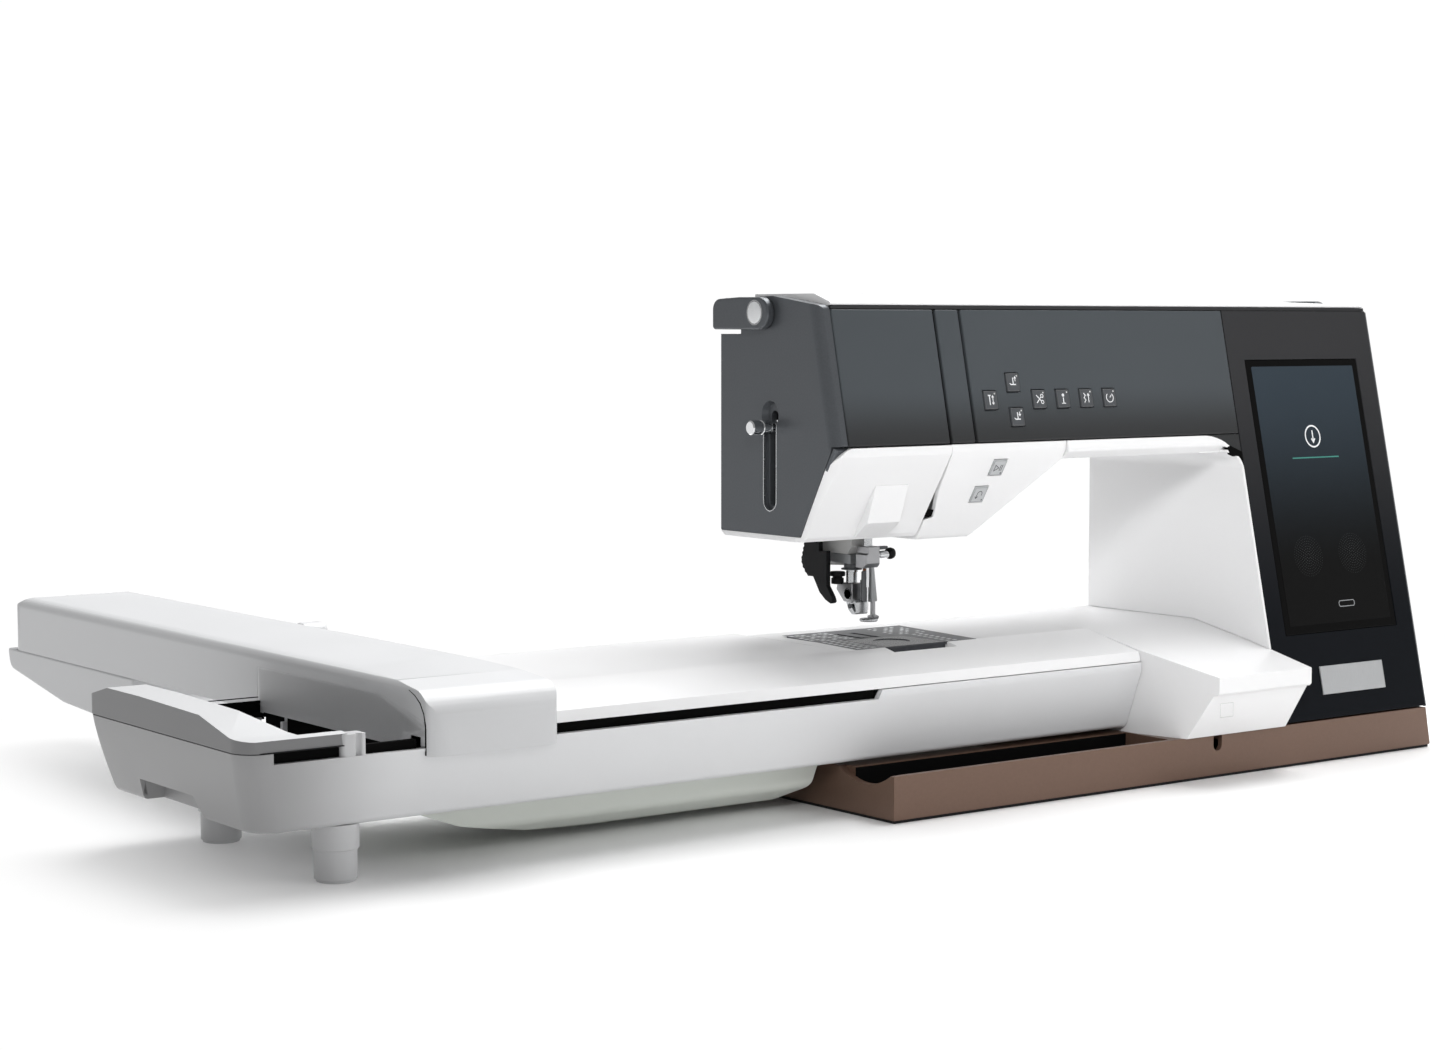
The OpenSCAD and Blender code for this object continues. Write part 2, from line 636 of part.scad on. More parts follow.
module unit_body() color("#e2e3e5") {
    unit_stop();
    unit_shell();
}
module unit_shell() difference() {
    intersection() {
        along_z(32, 90) unit_plan(0);
        along_x(unit_left, unit_right) polygon([[-51, 32], [unit_front, slot_low],
            [unit_front, 90], [132, 90], [132, 32]]);
        along_y(-70, 140) unit_end(0);
    }
    // inside, open at the top, with a pocket left round the hand hold
    difference() {
        intersection() {
            along_z(35, 91) unit_plan(wall);
            along_x(unit_left + wall, unit_right - wall) polygon([[-47, 35],
                [unit_front + wall, slot_low], [unit_front + wall, 91], [129, 91], [129, 35]]);
            along_y(-70, 140) unit_end(wall);
        }
        block([unit_left, 1, 34], [unit_left + 30, 95, 48]);
    }
    // front wall ends at the slot, and further right at the seam
    block([slot_l, unit_front - 2, slot_low], [-237, unit_front + 8, 91]);
    along_y(unit_front - 2, unit_front + 8) polygon([[-238, slot_low], [-234, slot_high - 0.2],
        [-238, slot_high - 0.2]]);
    block([unit_left - 1, unit_front - 2, slot_high - 0.2], [unit_right + 1, free_front - 0.5, 91]);
    block([unit_left - 1, unit_front - 2, slot_high - 0.2], [slot_l + 2, 133, 91]);
    block([unit_left - 1, 101, slot_high - 0.2], [unit_right + 1, 133, 91]);
    // low rear wall of the pit, under the embroidery arm
    block([pit_left - 2.6, 125, 65.8], [arm_left + 2.8, 133, 91]);
    block([arm_left - wall - 0.2, 101, 65.8], [arm_left + 2.8, 133, 91]);
    // hand hold in the left end
    along_x(unit_left - 1, unit_left + 26)
        polygon([[6, 31], [90, 31], [82, 45], [14, 45]]);
}

// stop beside the arm, moulded on the front wall
module unit_stop() difference() {
    rod_z(-597, -57, 50, 80, 5);
    along_x(-603, -591) polygon([[-70, 50], [-60, 50], [-66, 71], [-66, 81], [-70, 81]]);
}

// top surface of the unit in (y, z)
module unit_top_profile(back) polygon([[unit_front, slot_high], [unit_front + 0.6, 81], [-62, 84.2],
    [free_front - 0.6, bed_z], [back, bed_z], [back, bed_z - 2.6],
    [free_front - 0.2, bed_z - 2.6], [-60.5, 81.6], [unit_front + wall, slot_high]]);

module unit_top_plate() color("#ececee") {
    difference() {
        union() {
            // cup under the finger recess
            block([-191, -25, bed_z - 5.6], [-134, free_front - 0.5, bed_z - 2.6]);
            intersection() {
                along_x(arm_left, unit_right) unit_top_profile(unit_back);
                along_z(70, 96) polygon([[arm_left, -70], [unit_right, -70],
                    [unit_right, free_front - 0.5], [unit_mid, free_front - 0.5],
                    [unit_mid, unit_back], [arm_left, unit_back]]);
            }
            // rear edge
            block([arm_left, unit_back - 2.6, slot_high], [unit_mid, unit_back, bed_z]);
            // left end of the plate, under the embroidery arm
            along_x(arm_left, arm_left + 2.6) polygon([[unit_front + wall, slot_high], [-60.5, 83.8],
                [free_front - 0.6, bed_z], [132, bed_z], [132, 69], [-39, 69], [-39, slot_high]]);
        }
        // finger recess in front of the bobbin cover
        block([-189, -23, bed_z - 4], [-136, -12, bed_z + 1]);
    }
    // rim round the open end, with the liner of the pit that the arm moves over
    intersection() {
        along_x(unit_left, arm_left) polygon([[unit_front, slot_high], [unit_front + 0.5, 84],
            [-50, 85.5], [-14, 93.5], [60, 95], [104, 95], [132, 88], [132, slot_high]]);
        along_z(slot_high, 96) polygon(rounded([[unit_left, unit_front - 1, 14],
            [-603, unit_front - 1], [-603, -57], [pit_left + 12, -57], [pit_left, -15],
            [pit_left, 132], [unit_left, 132, 8]]));
    }
    block([pit_left - 2.4, -15, 66], [pit_left, 132, slot_high]);
    block([pit_left - 2.4, 126, 66], [arm_left + 2.6, 132, 68.4]);
    block([arm_left, 126, 66], [arm_left + 2.6, 132, 69]);
}

module unit_feet() color("#dcdddf") for (y = [-38, 101]) {
    rod_z(-597, y, 0, 1.5, 10.8);
    rod_z(-597, y, 1.5, 18, 11.8);
    rod_z(-597, y, 18, 32, 13);
}

module belly_pan() color("#dfe3dc") intersection() {
    along_y(-40, 90) polygon(rounded([[-550, 32], [-515, 19, 30], [-462, 9, 60], [-410, 6, 60],
        [-280, 6, 12], [-262, 16, 8], [-260, 32]]));
    along_x(-560, -255) polygon(rounded([[-35, 32], [-30, 16, 10], [-12, 6, 10], [62, 6, 10],
        [80, 16, 10], [85, 32]]));
}

module x_rails() color("#c9ccd0") for (y = [-28, 60])
    rod_x(unit_left + 11, unit_mid - wall, y, 58, 4);

module x_carriage() color("#6d7075") difference() {
    union() {
        block([arm_left + 6, -40, 48], [arm_r - 6, 74, 68]);
        block([arm_left + 6, -52, 60], [arm_r - 6, -40, 76.2]);
        block([arm_left + 6, unit_front - 1.2, 72.4], [arm_r - 6, -52, 76.2]);
    }
    for (y = [-28, 60]) rod_x(arm_left, arm_r, y, 58, 4.05);
}

// outer shape of the embroidery arm: side profile, cross-section and plan
module arm_form() intersection() {
    along_x(arm_left, arm_r) polygon(rounded([[arm_f, 67], [arm_f + 1, 99, 16], [-30, 104.6, 30],
        [40, arm_top, 60], [arm_back - 34, arm_top, 30], [arm_back, 92, 24], [arm_back, 66]]));
    along_y(arm_f, arm_back) polygon(rounded([[arm_left, 60], [arm_r, 60],
        [arm_r, arm_top, 5], [arm_left, arm_top - 1.5, 5]]));
    along_z(60, arm_top + 1) polygon(rounded([[arm_left, arm_f, 3], [arm_r, arm_f, 3],
        [arm_r, arm_back, 26], [arm_left, arm_back, 26]]));
}

module arm_shell() color("#d3d5d7") difference() {
    arm_form();
    // nothing of the arm reaches below this line: over the unit, then behind it
    along_x(arm_left - 1, arm_r + 1) polygon([[unit_front - 1.2, 60], [unit_front - 1.2, 82],
        [-63.4, 85.6], [free_front - 0.8, bed_z + 0.6], [134, bed_z + 0.6], [134, 69],
        [arm_back + 1, 69], [arm_back + 1, 60]]);
    // inside
    block([arm_left + 3, 137, 68], [arm_r - 3, arm_back - 30, arm_top - 4]);
    // slot for the hoop carriage
    block([arm_r - 4, 140, 85], [arm_r + 1, arm_back - 32, 90]);
}

module arm_housing() color("#d0d2d4") difference() {
    along_x(arm_left + 0.6, arm_r - 0.6) polygon(rounded([[315, 68.7], [315, 52, 8], [345, 36, 15],
        [430, 40, 20], [525, 55, 10], [528, 68.7]]));
    along_x(arm_left + 3.6, arm_r - 3.6) polygon([[319, 69], [319, 55], [346, 40], [430, 44],
        [520, 58], [522, 69]]);
}

module hoop_carriage() color("#cfd1d3") {
    along_x(arm_r + 0.5, arm_r + 17) polygon(rounded([[230, 82, 2], [252, 82, 2], [250, 106.6, 8],
        [232, 106.6, 8]]));
    block([arm_r - 20, 236, 86], [arm_r + 0.5, 246, 89]);
    block([arm_r - 34, 226, 80], [arm_r - 20, 256, 96]);
}

base_tray();
base_plate();
frame_casting();
free_arm_cover();
column_base_cover();
column_front_panel();
screen_glass();
badge_plate();
column_inner_cover();
arm_under_cover();
rear_cover();
right_side_cover();
power_inlet();
head_side_plate();
head_front_panel();
thread_path_panel();
arm_front_panel();
head_lower_left();
head_lower_right();
storage_deck();
needle_plate();
bobbin_case();
drive_motor();
drive_belt();
top_lid();
carry_handle();
threader_knob();
dual_feed_lever();
needle_bar();
needle_clamp();
needle();
presser_bar();
foot_ankle();
embroidery_foot();
take_up_lever();
main_shaft();
handwheel();
hook_shaft();
rotary_hook();
bobbin_cover();
feed_dog();
bobbin_winder();
presser_up_button();
needle_position_button();
presser_down_button();
thread_cut_button();
stitch_restart_button();
stitch_mode_button();
speed_button();
start_stop_button();
reverse_button();
unit_body();
unit_top_plate();
unit_feet();
belly_pan();
x_rails();
x_carriage();
arm_shell();
arm_housing();
hoop_carriage();
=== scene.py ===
import bpy, bmesh, json, math
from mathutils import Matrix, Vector


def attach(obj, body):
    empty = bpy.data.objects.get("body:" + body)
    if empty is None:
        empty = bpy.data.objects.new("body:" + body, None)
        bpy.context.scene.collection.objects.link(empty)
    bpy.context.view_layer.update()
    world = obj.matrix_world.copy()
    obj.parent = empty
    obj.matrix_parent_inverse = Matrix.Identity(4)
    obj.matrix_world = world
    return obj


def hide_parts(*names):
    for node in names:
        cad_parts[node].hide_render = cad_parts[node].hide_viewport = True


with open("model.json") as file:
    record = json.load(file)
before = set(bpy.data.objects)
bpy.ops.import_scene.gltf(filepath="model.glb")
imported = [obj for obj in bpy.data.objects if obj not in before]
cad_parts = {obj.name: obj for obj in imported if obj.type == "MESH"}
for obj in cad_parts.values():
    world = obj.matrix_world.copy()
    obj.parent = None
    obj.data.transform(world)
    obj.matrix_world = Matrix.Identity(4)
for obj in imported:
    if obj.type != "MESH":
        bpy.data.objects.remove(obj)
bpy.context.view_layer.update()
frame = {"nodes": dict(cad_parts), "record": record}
NODES = frame["nodes"]
MM = 0.001
WELD = 1e-5

# the front leans back from the foot of the column
LEAN = math.radians(12.4)
TAN = math.tan(LEAN)
FRONT_FOOT_Y, FRONT_FOOT_Z = -95, 29
RIGHT = Vector((1, 0, 0))
BACK = Vector((0, 1, 0))
UP = Vector((0, 0, 1))
FRONT_UP = Vector((0, math.sin(LEAN), math.cos(LEAN)))
FRONT_OUT = Vector((0, -math.cos(LEAN), math.sin(LEAN)))

# the chin under the dark panels slants the other way
CHIN = math.radians(31.3)
CHIN_TOP_Y, CHIN_TOP_Z = -51, 219
CHIN_RUN, CHIN_DROP = 32.5, 53.5
CHIN_UP = Vector((0, -math.sin(CHIN), math.cos(CHIN)))
CHIN_OUT = Vector((0, -math.cos(CHIN), -math.sin(CHIN)))


def front_y(z):
    return FRONT_FOOT_Y + TAN * (z - FRONT_FOOT_Z)


def chin_y(z):
    return CHIN_TOP_Y + (CHIN_TOP_Z - z) * CHIN_RUN / CHIN_DROP


# ---------------------------------------------------------------- materials
ROUGH_SPREAD = 0.05
COAT_ROUGHNESS = 0.08
GRAIN_HEIGHT = 0.0002


def material(name, base, rough=0.4, metallic=0.0, vary=0.04, scale=18.0, grain=0.0,
             grain_scale=900.0, stretch=(1, 1, 1), coat=0.0, spec=0.5, shade_ramp=None):
    """plastic or metal with a faint mottle; the shade ramp is (axis, from, to, colour at the end), in mm,
    and paints shade into the base colour
    """
    made = bpy.data.materials.new(name)
    made.use_nodes = True
    tree = made.node_tree
    tree.nodes.clear()
    link = tree.links.new
    output = tree.nodes.new("ShaderNodeOutputMaterial")
    shader = tree.nodes.new("ShaderNodeBsdfPrincipled")
    link(shader.outputs[0], output.inputs[0])
    place = tree.nodes.new("ShaderNodeTexCoord")
    mapping = tree.nodes.new("ShaderNodeMapping")
    mapping.inputs["Scale"].default_value = stretch
    link(place.outputs["Object"], mapping.inputs["Vector"])
    mottle = tree.nodes.new("ShaderNodeTexNoise")
    mottle.inputs["Scale"].default_value = scale
    mottle.inputs["Detail"].default_value = 4
    link(mapping.outputs[0], mottle.inputs["Vector"])
    mix = tree.nodes.new("ShaderNodeMixRGB")
    mix.inputs[1].default_value = (*[max(0, c * (1 - vary)) for c in base], 1)
    mix.inputs[2].default_value = (*[min(1, c * (1 + vary)) for c in base], 1)
    link(mottle.outputs["Fac"], mix.inputs[0])
    colour = mix.outputs[0]
    # painted shade: the base colour blends along one axis towards the colour at its end, darker for most
    # parts and lighter for the arm's end cover, in place of unevenly falling light
    if shade_ramp:
        axis, start, stop, other = shade_ramp
        split = tree.nodes.new("ShaderNodeSeparateXYZ")
        link(place.outputs["Object"], split.inputs[0])
        along = tree.nodes.new("ShaderNodeMapRange")
        along.inputs["From Min"].default_value = start * MM
        along.inputs["From Max"].default_value = stop * MM
        along.interpolation_type = "SMOOTHSTEP"
        link(split.outputs["XYZ".index(axis)], along.inputs[0])
        shade_blend = tree.nodes.new("ShaderNodeMixRGB")
        shade_blend.inputs[2].default_value = (*other, 1)
        link(colour, shade_blend.inputs[1])
        link(along.outputs[0], shade_blend.inputs[0])
        colour = shade_blend.outputs[0]
    link(colour, shader.inputs["Base Color"])
    gloss = tree.nodes.new("ShaderNodeMapRange")
    gloss.inputs["To Min"].default_value = max(0.02, rough - ROUGH_SPREAD)
    gloss.inputs["To Max"].default_value = min(1, rough + ROUGH_SPREAD)
    link(mottle.outputs["Fac"], gloss.inputs[0])
    link(gloss.outputs[0], shader.inputs["Roughness"])
    shader.inputs["Metallic"].default_value = metallic
    shader.inputs["Coat Weight"].default_value = coat
    shader.inputs["Coat Roughness"].default_value = COAT_ROUGHNESS
    shader.inputs["Specular IOR Level"].default_value = spec
    if grain:
        fine = tree.nodes.new("ShaderNodeTexNoise")
        fine.inputs["Scale"].default_value = grain_scale
        fine.inputs["Detail"].default_value = 2
        link(mapping.outputs[0], fine.inputs["Vector"])
        bump = tree.nodes.new("ShaderNodeBump")
        bump.inputs["Strength"].default_value = grain
        bump.inputs["Distance"].default_value = GRAIN_HEIGHT
        link(fine.outputs["Fac"], bump.inputs["Height"])
        link(bump.outputs[0], shader.inputs["Normal"])
    return made


WHITE = material("satin_white", (0.80, 0.80, 0.805), 0.34, vary=0.012, grain=0.05, coat=0.15)
# painted shade: the unit's white turns dark grey towards its left end at x = -655, where less light falls
UNIT = material("unit_white", (0.70, 0.705, 0.715), 0.38, vary=0.012, grain=0.06,
                shade_ramp=("X", -560, -655, (0.30, 0.30, 0.304)))
# painted shade: dark grey for the side faces of the unit's rim, which lie in shade
RIM_SHADE = material("rim_side_painted_shade", (0.20, 0.20, 0.204), 0.42, vary=0.015, grain=0.06)
PAN = material("pan_white", (0.72, 0.75, 0.70), 0.40, vary=0.015, grain=0.05)
ARM = material("arm_light_grey", (0.63, 0.635, 0.645), 0.42, vary=0.015, grain=0.07)
# painted shade: the end cover is lighter towards the back and darker towards the front, as light falls on
# the arm's side
ARM_END = material("arm_end_grey", (0.63, 0.635, 0.645), 0.42, vary=0.015, grain=0.07,
                   shade_ramp=("Y", 30, 134, (0.79, 0.795, 0.805)))
# painted shade: the dark lacquer turns darker towards the bottom, standing in for the fading reflection on
# the glossy face
PANEL = material("dark_lacquer", (0.062, 0.070, 0.077), 0.30, vary=0.03, spec=0.20,
                 shade_ramp=("Z", 262, 226, (0.030, 0.031, 0.032)))
SIDE = material("side_metallic", (0.092, 0.099, 0.108), 0.36, metallic=0.5, vary=0.16,
                scale=900, grain=0.12, grain_scale=1600)
# painted shade: the column's gloss black turns darker towards the bottom
COLUMN = material("column_gloss", (0.036, 0.036, 0.038), 0.24, vary=0.04, spec=0.08,
                  shade_ramp=("Z", 300, 90, (0.005, 0.006, 0.008)))
# painted shade: the screen face turns darker towards the bottom
SCREEN = material("screen_face", (0.034, 0.046, 0.058), 0.18, vary=0.05, spec=0.06,
                  shade_ramp=("Z", 275, 130, (0.006, 0.006, 0.006)))
BEZEL = material("screen_bezel", (0.002, 0.002, 0.002), 0.2, vary=0.05, spec=0.08)
BROWN = material("brown_metallic", (0.150, 0.090, 0.064), 0.38, metallic=0.35, vary=0.10,
                 scale=700, grain=0.10, grain_scale=1500)
# painted shadow: near-black for sheets and faces set in pits, slots, bores and the trough where shade
# falls; also the dark seam line on the arm
SHADOW = material("painted_shadow_and_seam_black", (0.004, 0.004, 0.004), 0.8, vary=0.2, spec=0.03)
# painted shade: grey that stands for the shaded inside of the thread gap
GAP_SHADE = material("gap_shade_grey", (0.24, 0.24, 0.24), 0.6, vary=0.05, spec=0.2)
BLACK = material("matt_black", (0.008, 0.008, 0.009), 0.55, vary=0.10, grain=0.10, spec=0.18)
RUBBER = material("rubber_black", (0.016, 0.016, 0.017), 0.8, vary=0.12, grain=0.2)
STEEL = material("ground_steel", (0.56, 0.57, 0.58), 0.26, metallic=1.0, vary=0.05,
                 scale=60, stretch=(1, 1, 12), grain=0.05)
SATIN = material("satin_steel", (0.40, 0.40, 0.41), 0.34, metallic=1.0, vary=0.08, scale=90, grain=0.08)
CHROME = material("chrome", (0.72, 0.73, 0.74), 0.10, metallic=1.0, vary=0.03)
CAST = material("cast_aluminium", (0.42, 0.43, 0.44), 0.55, metallic=0.9, vary=0.12, scale=160, grain=0.35,
                grain_scale=500)
PLATE = material("plate_steel", (0.12, 0.123, 0.13), 0.36, metallic=0.6, vary=0.06,
                 scale=120, stretch=(1, 14, 1), grain=0.06)
SMOKE = material("smoked_plastic", (0.040, 0.042, 0.047), 0.22, vary=0.06, coat=0.15, spec=0.3)
BADGE = material("brushed_badge", (0.58, 0.59, 0.60), 0.38, metallic=0.7, vary=0.10,
                 scale=240, stretch=(16, 1, 1), grain=0.10, grain_scale=700)
DISC = material("pivot_disc", (0.74, 0.75, 0.76), 0.30, metallic=0.4, vary=0.05, scale=300,
    stretch=(1, 1, 14))
BUTTON = material("button_dark", (0.062, 0.066, 0.072), 0.42, vary=0.05, grain=0.08)
RIM = material("button_rim", (0.16, 0.165, 0.17), 0.30, metallic=0.7, vary=0.06)
CHIN_BUTTON = material("button_light", (0.46, 0.47, 0.48), 0.38, vary=0.04, grain=0.06)
MARK = material("mark_white", (0.78, 0.79, 0.80), 0.5, vary=0.03)
MARK_GREY = material("mark_grey", (0.30, 0.31, 0.32), 0.5, vary=0.03)
MARK_DARK = material("mark_dark", (0.05, 0.05, 0.055), 0.5, vary=0.05)
MARK_GREEN = material("mark_green", (0.04, 0.22, 0.18), 0.5, vary=0.05)
DOT = material("screen_dots", (0.030, 0.033, 0.035), 0.4, vary=0.05)
LED = material("led_lens", (0.55, 0.56, 0.55), 0.2, vary=0.05)
GREY = material("dark_grey_plastic", (0.10, 0.105, 0.11), 0.5, vary=0.05, grain=0.1)
LIGHT = material("light_grey_plastic", (0.50, 0.50, 0.49), 0.4, vary=0.04, grain=0.08)
COPPER = material("copper_clip", (0.45, 0.20, 0.10), 0.35, metallic=0.9, vary=0.08)


# ---------------------------------------------------------------- builders
FLAT_ANGLE = 0.6
TINY = 2e-6


def unit2(v):
    n = math.hypot(*v)
    return (v[0] / n, v[1] / n)


def rounded(pts, steps=6):
    """the outline with an arc at each point that has a third value, its radius"""
    out = []
    n = len(pts)
    for i, c in enumerate(pts):
        r = c[2] if len(c) > 2 else 0
        if not r:
            out.append((c[0], c[1]))
            continue
        p, q = pts[i - 1], pts[(i + 1) % n]
        a = unit2((p[0] - c[0], p[1] - c[1]))
        b = unit2((q[0] - c[0], q[1] - c[1]))
        half = math.acos(max(-1, min(1, a[0] * b[0] + a[1] * b[1]))) / 2
        m = unit2((a[0] + b[0], a[1] + b[1]))
        mid = (c[0] + m[0] * r / math.sin(half), c[1] + m[1] * r / math.sin(half))
        t = r / math.tan(half)
        s = (c[0] + a[0] * t - mid[0], c[1] + a[1] * t - mid[1])
        e = (c[0] + b[0] * t - mid[0], c[1] + b[1] * t - mid[1])
        f, g = math.atan2(s[1], s[0]), math.atan2(e[1], e[0])
        turn = (g - f + math.pi) % (2 * math.pi) - math.pi
        for k in range(steps + 1):
            w = f + turn * k / steps
            out.append((mid[0] + r * math.cos(w), mid[1] + r * math.sin(w)))
    return out


def put(axis, a, b, c):
    """the point at c along the axis and (a, b) across it, from mm to metres"""
    return Vector({"x": (c, a, b), "y": (a, c, b), "z": (a, b, c)}[axis]) * MM


def add(name, bm, mat):
    """the finished mesh as an object of the scene"""
    bmesh.ops.recalc_face_normals(bm, faces=bm.faces)
    me = bpy.data.meshes.new(name)
    bm.to_mesh(me)
    bm.free()
    o = bpy.data.objects.new(name, me)
    bpy.context.scene.collection.objects.link(o)
    me.materials.append(mat)
    return o


def skin(name, low, high, mat):
    """closed solid between two outlines with the same number of points"""
    bm = bmesh.new()
    low = [bm.verts.new(p) for p in low]
    high = [bm.verts.new(p) for p in high]
    bm.faces.new(low)
    bm.faces.new(high)
    for i in range(len(low)):
        j = (i + 1) % len(low)
        bm.faces.new((low[i], low[j], high[j], high[i]))
    return add(name, bm, mat)


def prism(name, axis, pts, lo, hi, mat, steps=6):
    """solid with a constant outline along one axis, in mm"""
    flat = rounded(pts, steps)
    return skin(name, [put(axis, u, v, lo) for u, v in flat], [put(axis, u, v, hi) for u, v in flat], mat)


def lathe(name, axis, cu, cv, prof, mat, n=48):
    """turned solid round (cu, cv): prof is [(radius, place along the axis)], in mm"""
    bm = bmesh.new()
    rings = []
    for r, h in prof:
        if r <= 1e-6:
            rings.append([bm.verts.new(put(axis, cu, cv, h))])
        else:
            rings.append([bm.verts.new(put(axis, cu + r * math.cos(2 * math.pi * k / n),
                                           cv + r * math.sin(2 * math.pi * k / n), h)) for k in range(n)])
    for a, b in zip(rings, rings[1:]):
        for k in range(n):
            j = (k + 1) % n
            if len(a) == 1 and len(b) == 1:
                continue
            if len(a) == 1:
                bm.faces.new((a[0], b[j], b[k]))
            elif len(b) == 1:
                bm.faces.new((a[k], a[j], b[0]))
            else:
                bm.faces.new((a[k], a[j], b[j], b[k]))
    for end in (rings[0], rings[-1]):
        if len(end) > 1:
            bm.faces.new(end)
    return add(name, bm, mat)


def bake(o):
    """applies the modifiers to the mesh"""
    dg = bpy.context.evaluated_depsgraph_get()
    me = bpy.data.meshes.new_from_object(o.evaluated_get(dg))
    o.modifiers.clear()
    o.data = me
    return o


def cut(o, *tools, how="DIFFERENCE"):
    """takes the tools away from o, or keeps what o shares with them, and removes the tools"""
    for t in tools:
        m = o.modifiers.new("cut", "BOOLEAN")
        m.operation = how
        m.solver = "EXACT"
        m.object = t
    bpy.context.view_layer.update()
    bake(o)
    for t in tools:
        bpy.data.objects.remove(t)
    return o


def clean(o):
    """welds the mesh and joins flat neighbouring faces, so that only true edges are bevelled"""
    bm = bmesh.new()
    bm.from_mesh(o.data)
    bmesh.ops.remove_doubles(bm, verts=bm.verts, dist=TINY)
    bmesh.ops.dissolve_degenerate(bm, edges=bm.edges, dist=TINY)
    bmesh.ops.dissolve_limit(bm, angle_limit=math.radians(FLAT_ANGLE), verts=bm.verts, edges=bm.edges,
                             delimit={"MATERIAL"})
    bm.to_mesh(o.data)
    bm.free()
    return o


def soften(o, width=0.8, seg=3, angle=32):
    """rounds the sharp edges and smooths the shading"""
    clean(o)
    m = o.modifiers.new("bevel", "BEVEL")
    m.width = width * MM
    m.segments = seg
    m.limit_method = "ANGLE"
    m.angle_limit = math.radians(angle)
    m.use_clamp_overlap = True
    bpy.context.view_layer.update()
    bake(o)
    return smooth(o)


def smooth(o, angle=40):
    for p in o.data.polygons:
        p.use_smooth = True
    o.data.set_sharp_from_angle(angle=math.radians(angle))
    w = o.modifiers.new("normals", "WEIGHTED_NORMAL")
    w.mode = "FACE_AREA"
    w.weight = 100
    w.keep_sharp = True
    bpy.context.view_layer.update()
    return bake(o)


BODY = {n: b for b, ns in frame["record"]["behaviour"]["bodies"].items() for n in ns}


def stands_for(o, *nodes):
    """o is shown in place of these CAD nodes and takes their body"""
    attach(o, BODY[nodes[0]])
    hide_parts(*nodes)
    return o


def with_node(o, node):
    """o is an extra detail that moves with this CAD node"""
    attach(o, BODY[node])
    return o


def node_copy(node, name, mat):
    """an own object with the node's shape and its vertices joined"""
    bm = bmesh.new()
    bm.from_mesh(NODES[node].data)
    bmesh.ops.remove_doubles(bm, verts=bm.verts, dist=WELD)
    return add(name, bm, mat)


def detail(node, mat, width):
    """the node's own shape with rounded edges"""
    o = node_copy(node, node + "_finish", mat)
    if width:
        soften(o, width, 2)
    else:
        smooth(o)
    return stands_for(o, node)


def on_front(pts, d0, d1, name, mat):
    """solid on the leaning front plane: outline (x, z), from depth d0 to d1 out of the face"""
    flat = rounded(pts)
    rings = [[(Vector((u, front_y(v), v)) + FRONT_OUT * d) * MM for u, v in flat] for d in (d0, d1)]
    return skin(name, *rings, mat)


def rect(x0, x1, z0, z1, r=0):
    return [(x0, z0, r), (x1, z0, r), (x1, z1, r), (x0, z1, r)]


# ---------------------------------------------------------------- CAD nodes with finished edges
# material and edge radius in mm
FINISH = {
    "base_tray": (BROWN, 0.8), "base_plate": (BLACK, 0.3), "frame_casting": (CAST, 0.6),
    "free_arm_cover": (WHITE, 0.5), "column_base_cover": (WHITE, 1.2), "screen_glass": (BEZEL, 0.4),
    "badge_plate": (BADGE, 0.3), "rear_cover": (WHITE, 1.2), "power_inlet": (BLACK, 0.4),
    "head_front_panel": (PANEL, 0.8), "thread_path_panel": (PANEL, 0.8), "arm_front_panel": (PANEL, 0.8),
    "storage_deck": (WHITE, 0.6), "needle_plate": (PLATE, 0.3), "bobbin_case": (GREY, 0.3),
    "drive_motor": (BLACK, 0.8), "drive_belt": (RUBBER, 0.2), "needle_bar": (STEEL, 0.2),
    "needle": (CHROME, 0), "presser_bar": (STEEL, 0.2), "take_up_lever": (STEEL, 0.3),
    "main_shaft": (STEEL, 0.4), "handwheel": (WHITE, 0.8), "hook_shaft": (STEEL, 0.3),
    "rotary_hook": (STEEL, 0.3), "bobbin_cover": (SMOKE, 0.5), "feed_dog": (STEEL, 0.2),
    "bobbin_winder": (STEEL, 0.4), "presser_up_button": (BUTTON, 0.9),
    "needle_position_button": (BUTTON, 0.9), "presser_down_button": (BUTTON, 0.9),
    "thread_cut_button": (BUTTON, 0.9), "stitch_restart_button": (BUTTON, 0.9),
    "stitch_mode_button": (BUTTON, 0.9), "speed_button": (BUTTON, 0.9),
    "start_stop_button": (CHIN_BUTTON, 0.9), "reverse_button": (CHIN_BUTTON, 0.9),
    "unit_top_plate": (WHITE, 0.8), "unit_feet": (UNIT, 0.8), "belly_pan": (PAN, 1.5),
    "x_rails": (STEEL, 0.3), "x_carriage": (GREY, 0.6), "arm_housing": (ARM, 1.5),
    "hoop_carriage": (ARM, 1.5),
}
for node, (mat, width) in FINISH.items():
    detail(node, mat, width)

top_plate = bpy.data.objects["unit_top_plate_finish"]
top_plate.data.materials.append(ARM)
top_plate.data.materials.append(RIM_SHADE)
top_plate.data.materials.append(SHADOW)
RIM_END_X, PIT_EDGE_X = -0.5565, -0.5525
PIT_BACK_Y, PIT_TOP_Z = 0.1, 0.072
FACES_UP = 0.35
AS_ARM, AS_RIM_SHADE, AS_SHADOW = 1, 2, 3
# the rim end's upward faces take the arm's grey; painted shade: its side faces take the dark rim grey, and
# the faces at the back of the pit take the painted shadow black
for f in top_plate.data.polygons:
    if f.center.x < RIM_END_X:
        f.material_index = AS_ARM if f.normal.z > FACES_UP else AS_RIM_SHADE
    if f.center.x < PIT_EDGE_X and f.center.y > PIT_BACK_Y and f.center.z < PIT_TOP_Z:
        f.material_index = AS_SHADOW

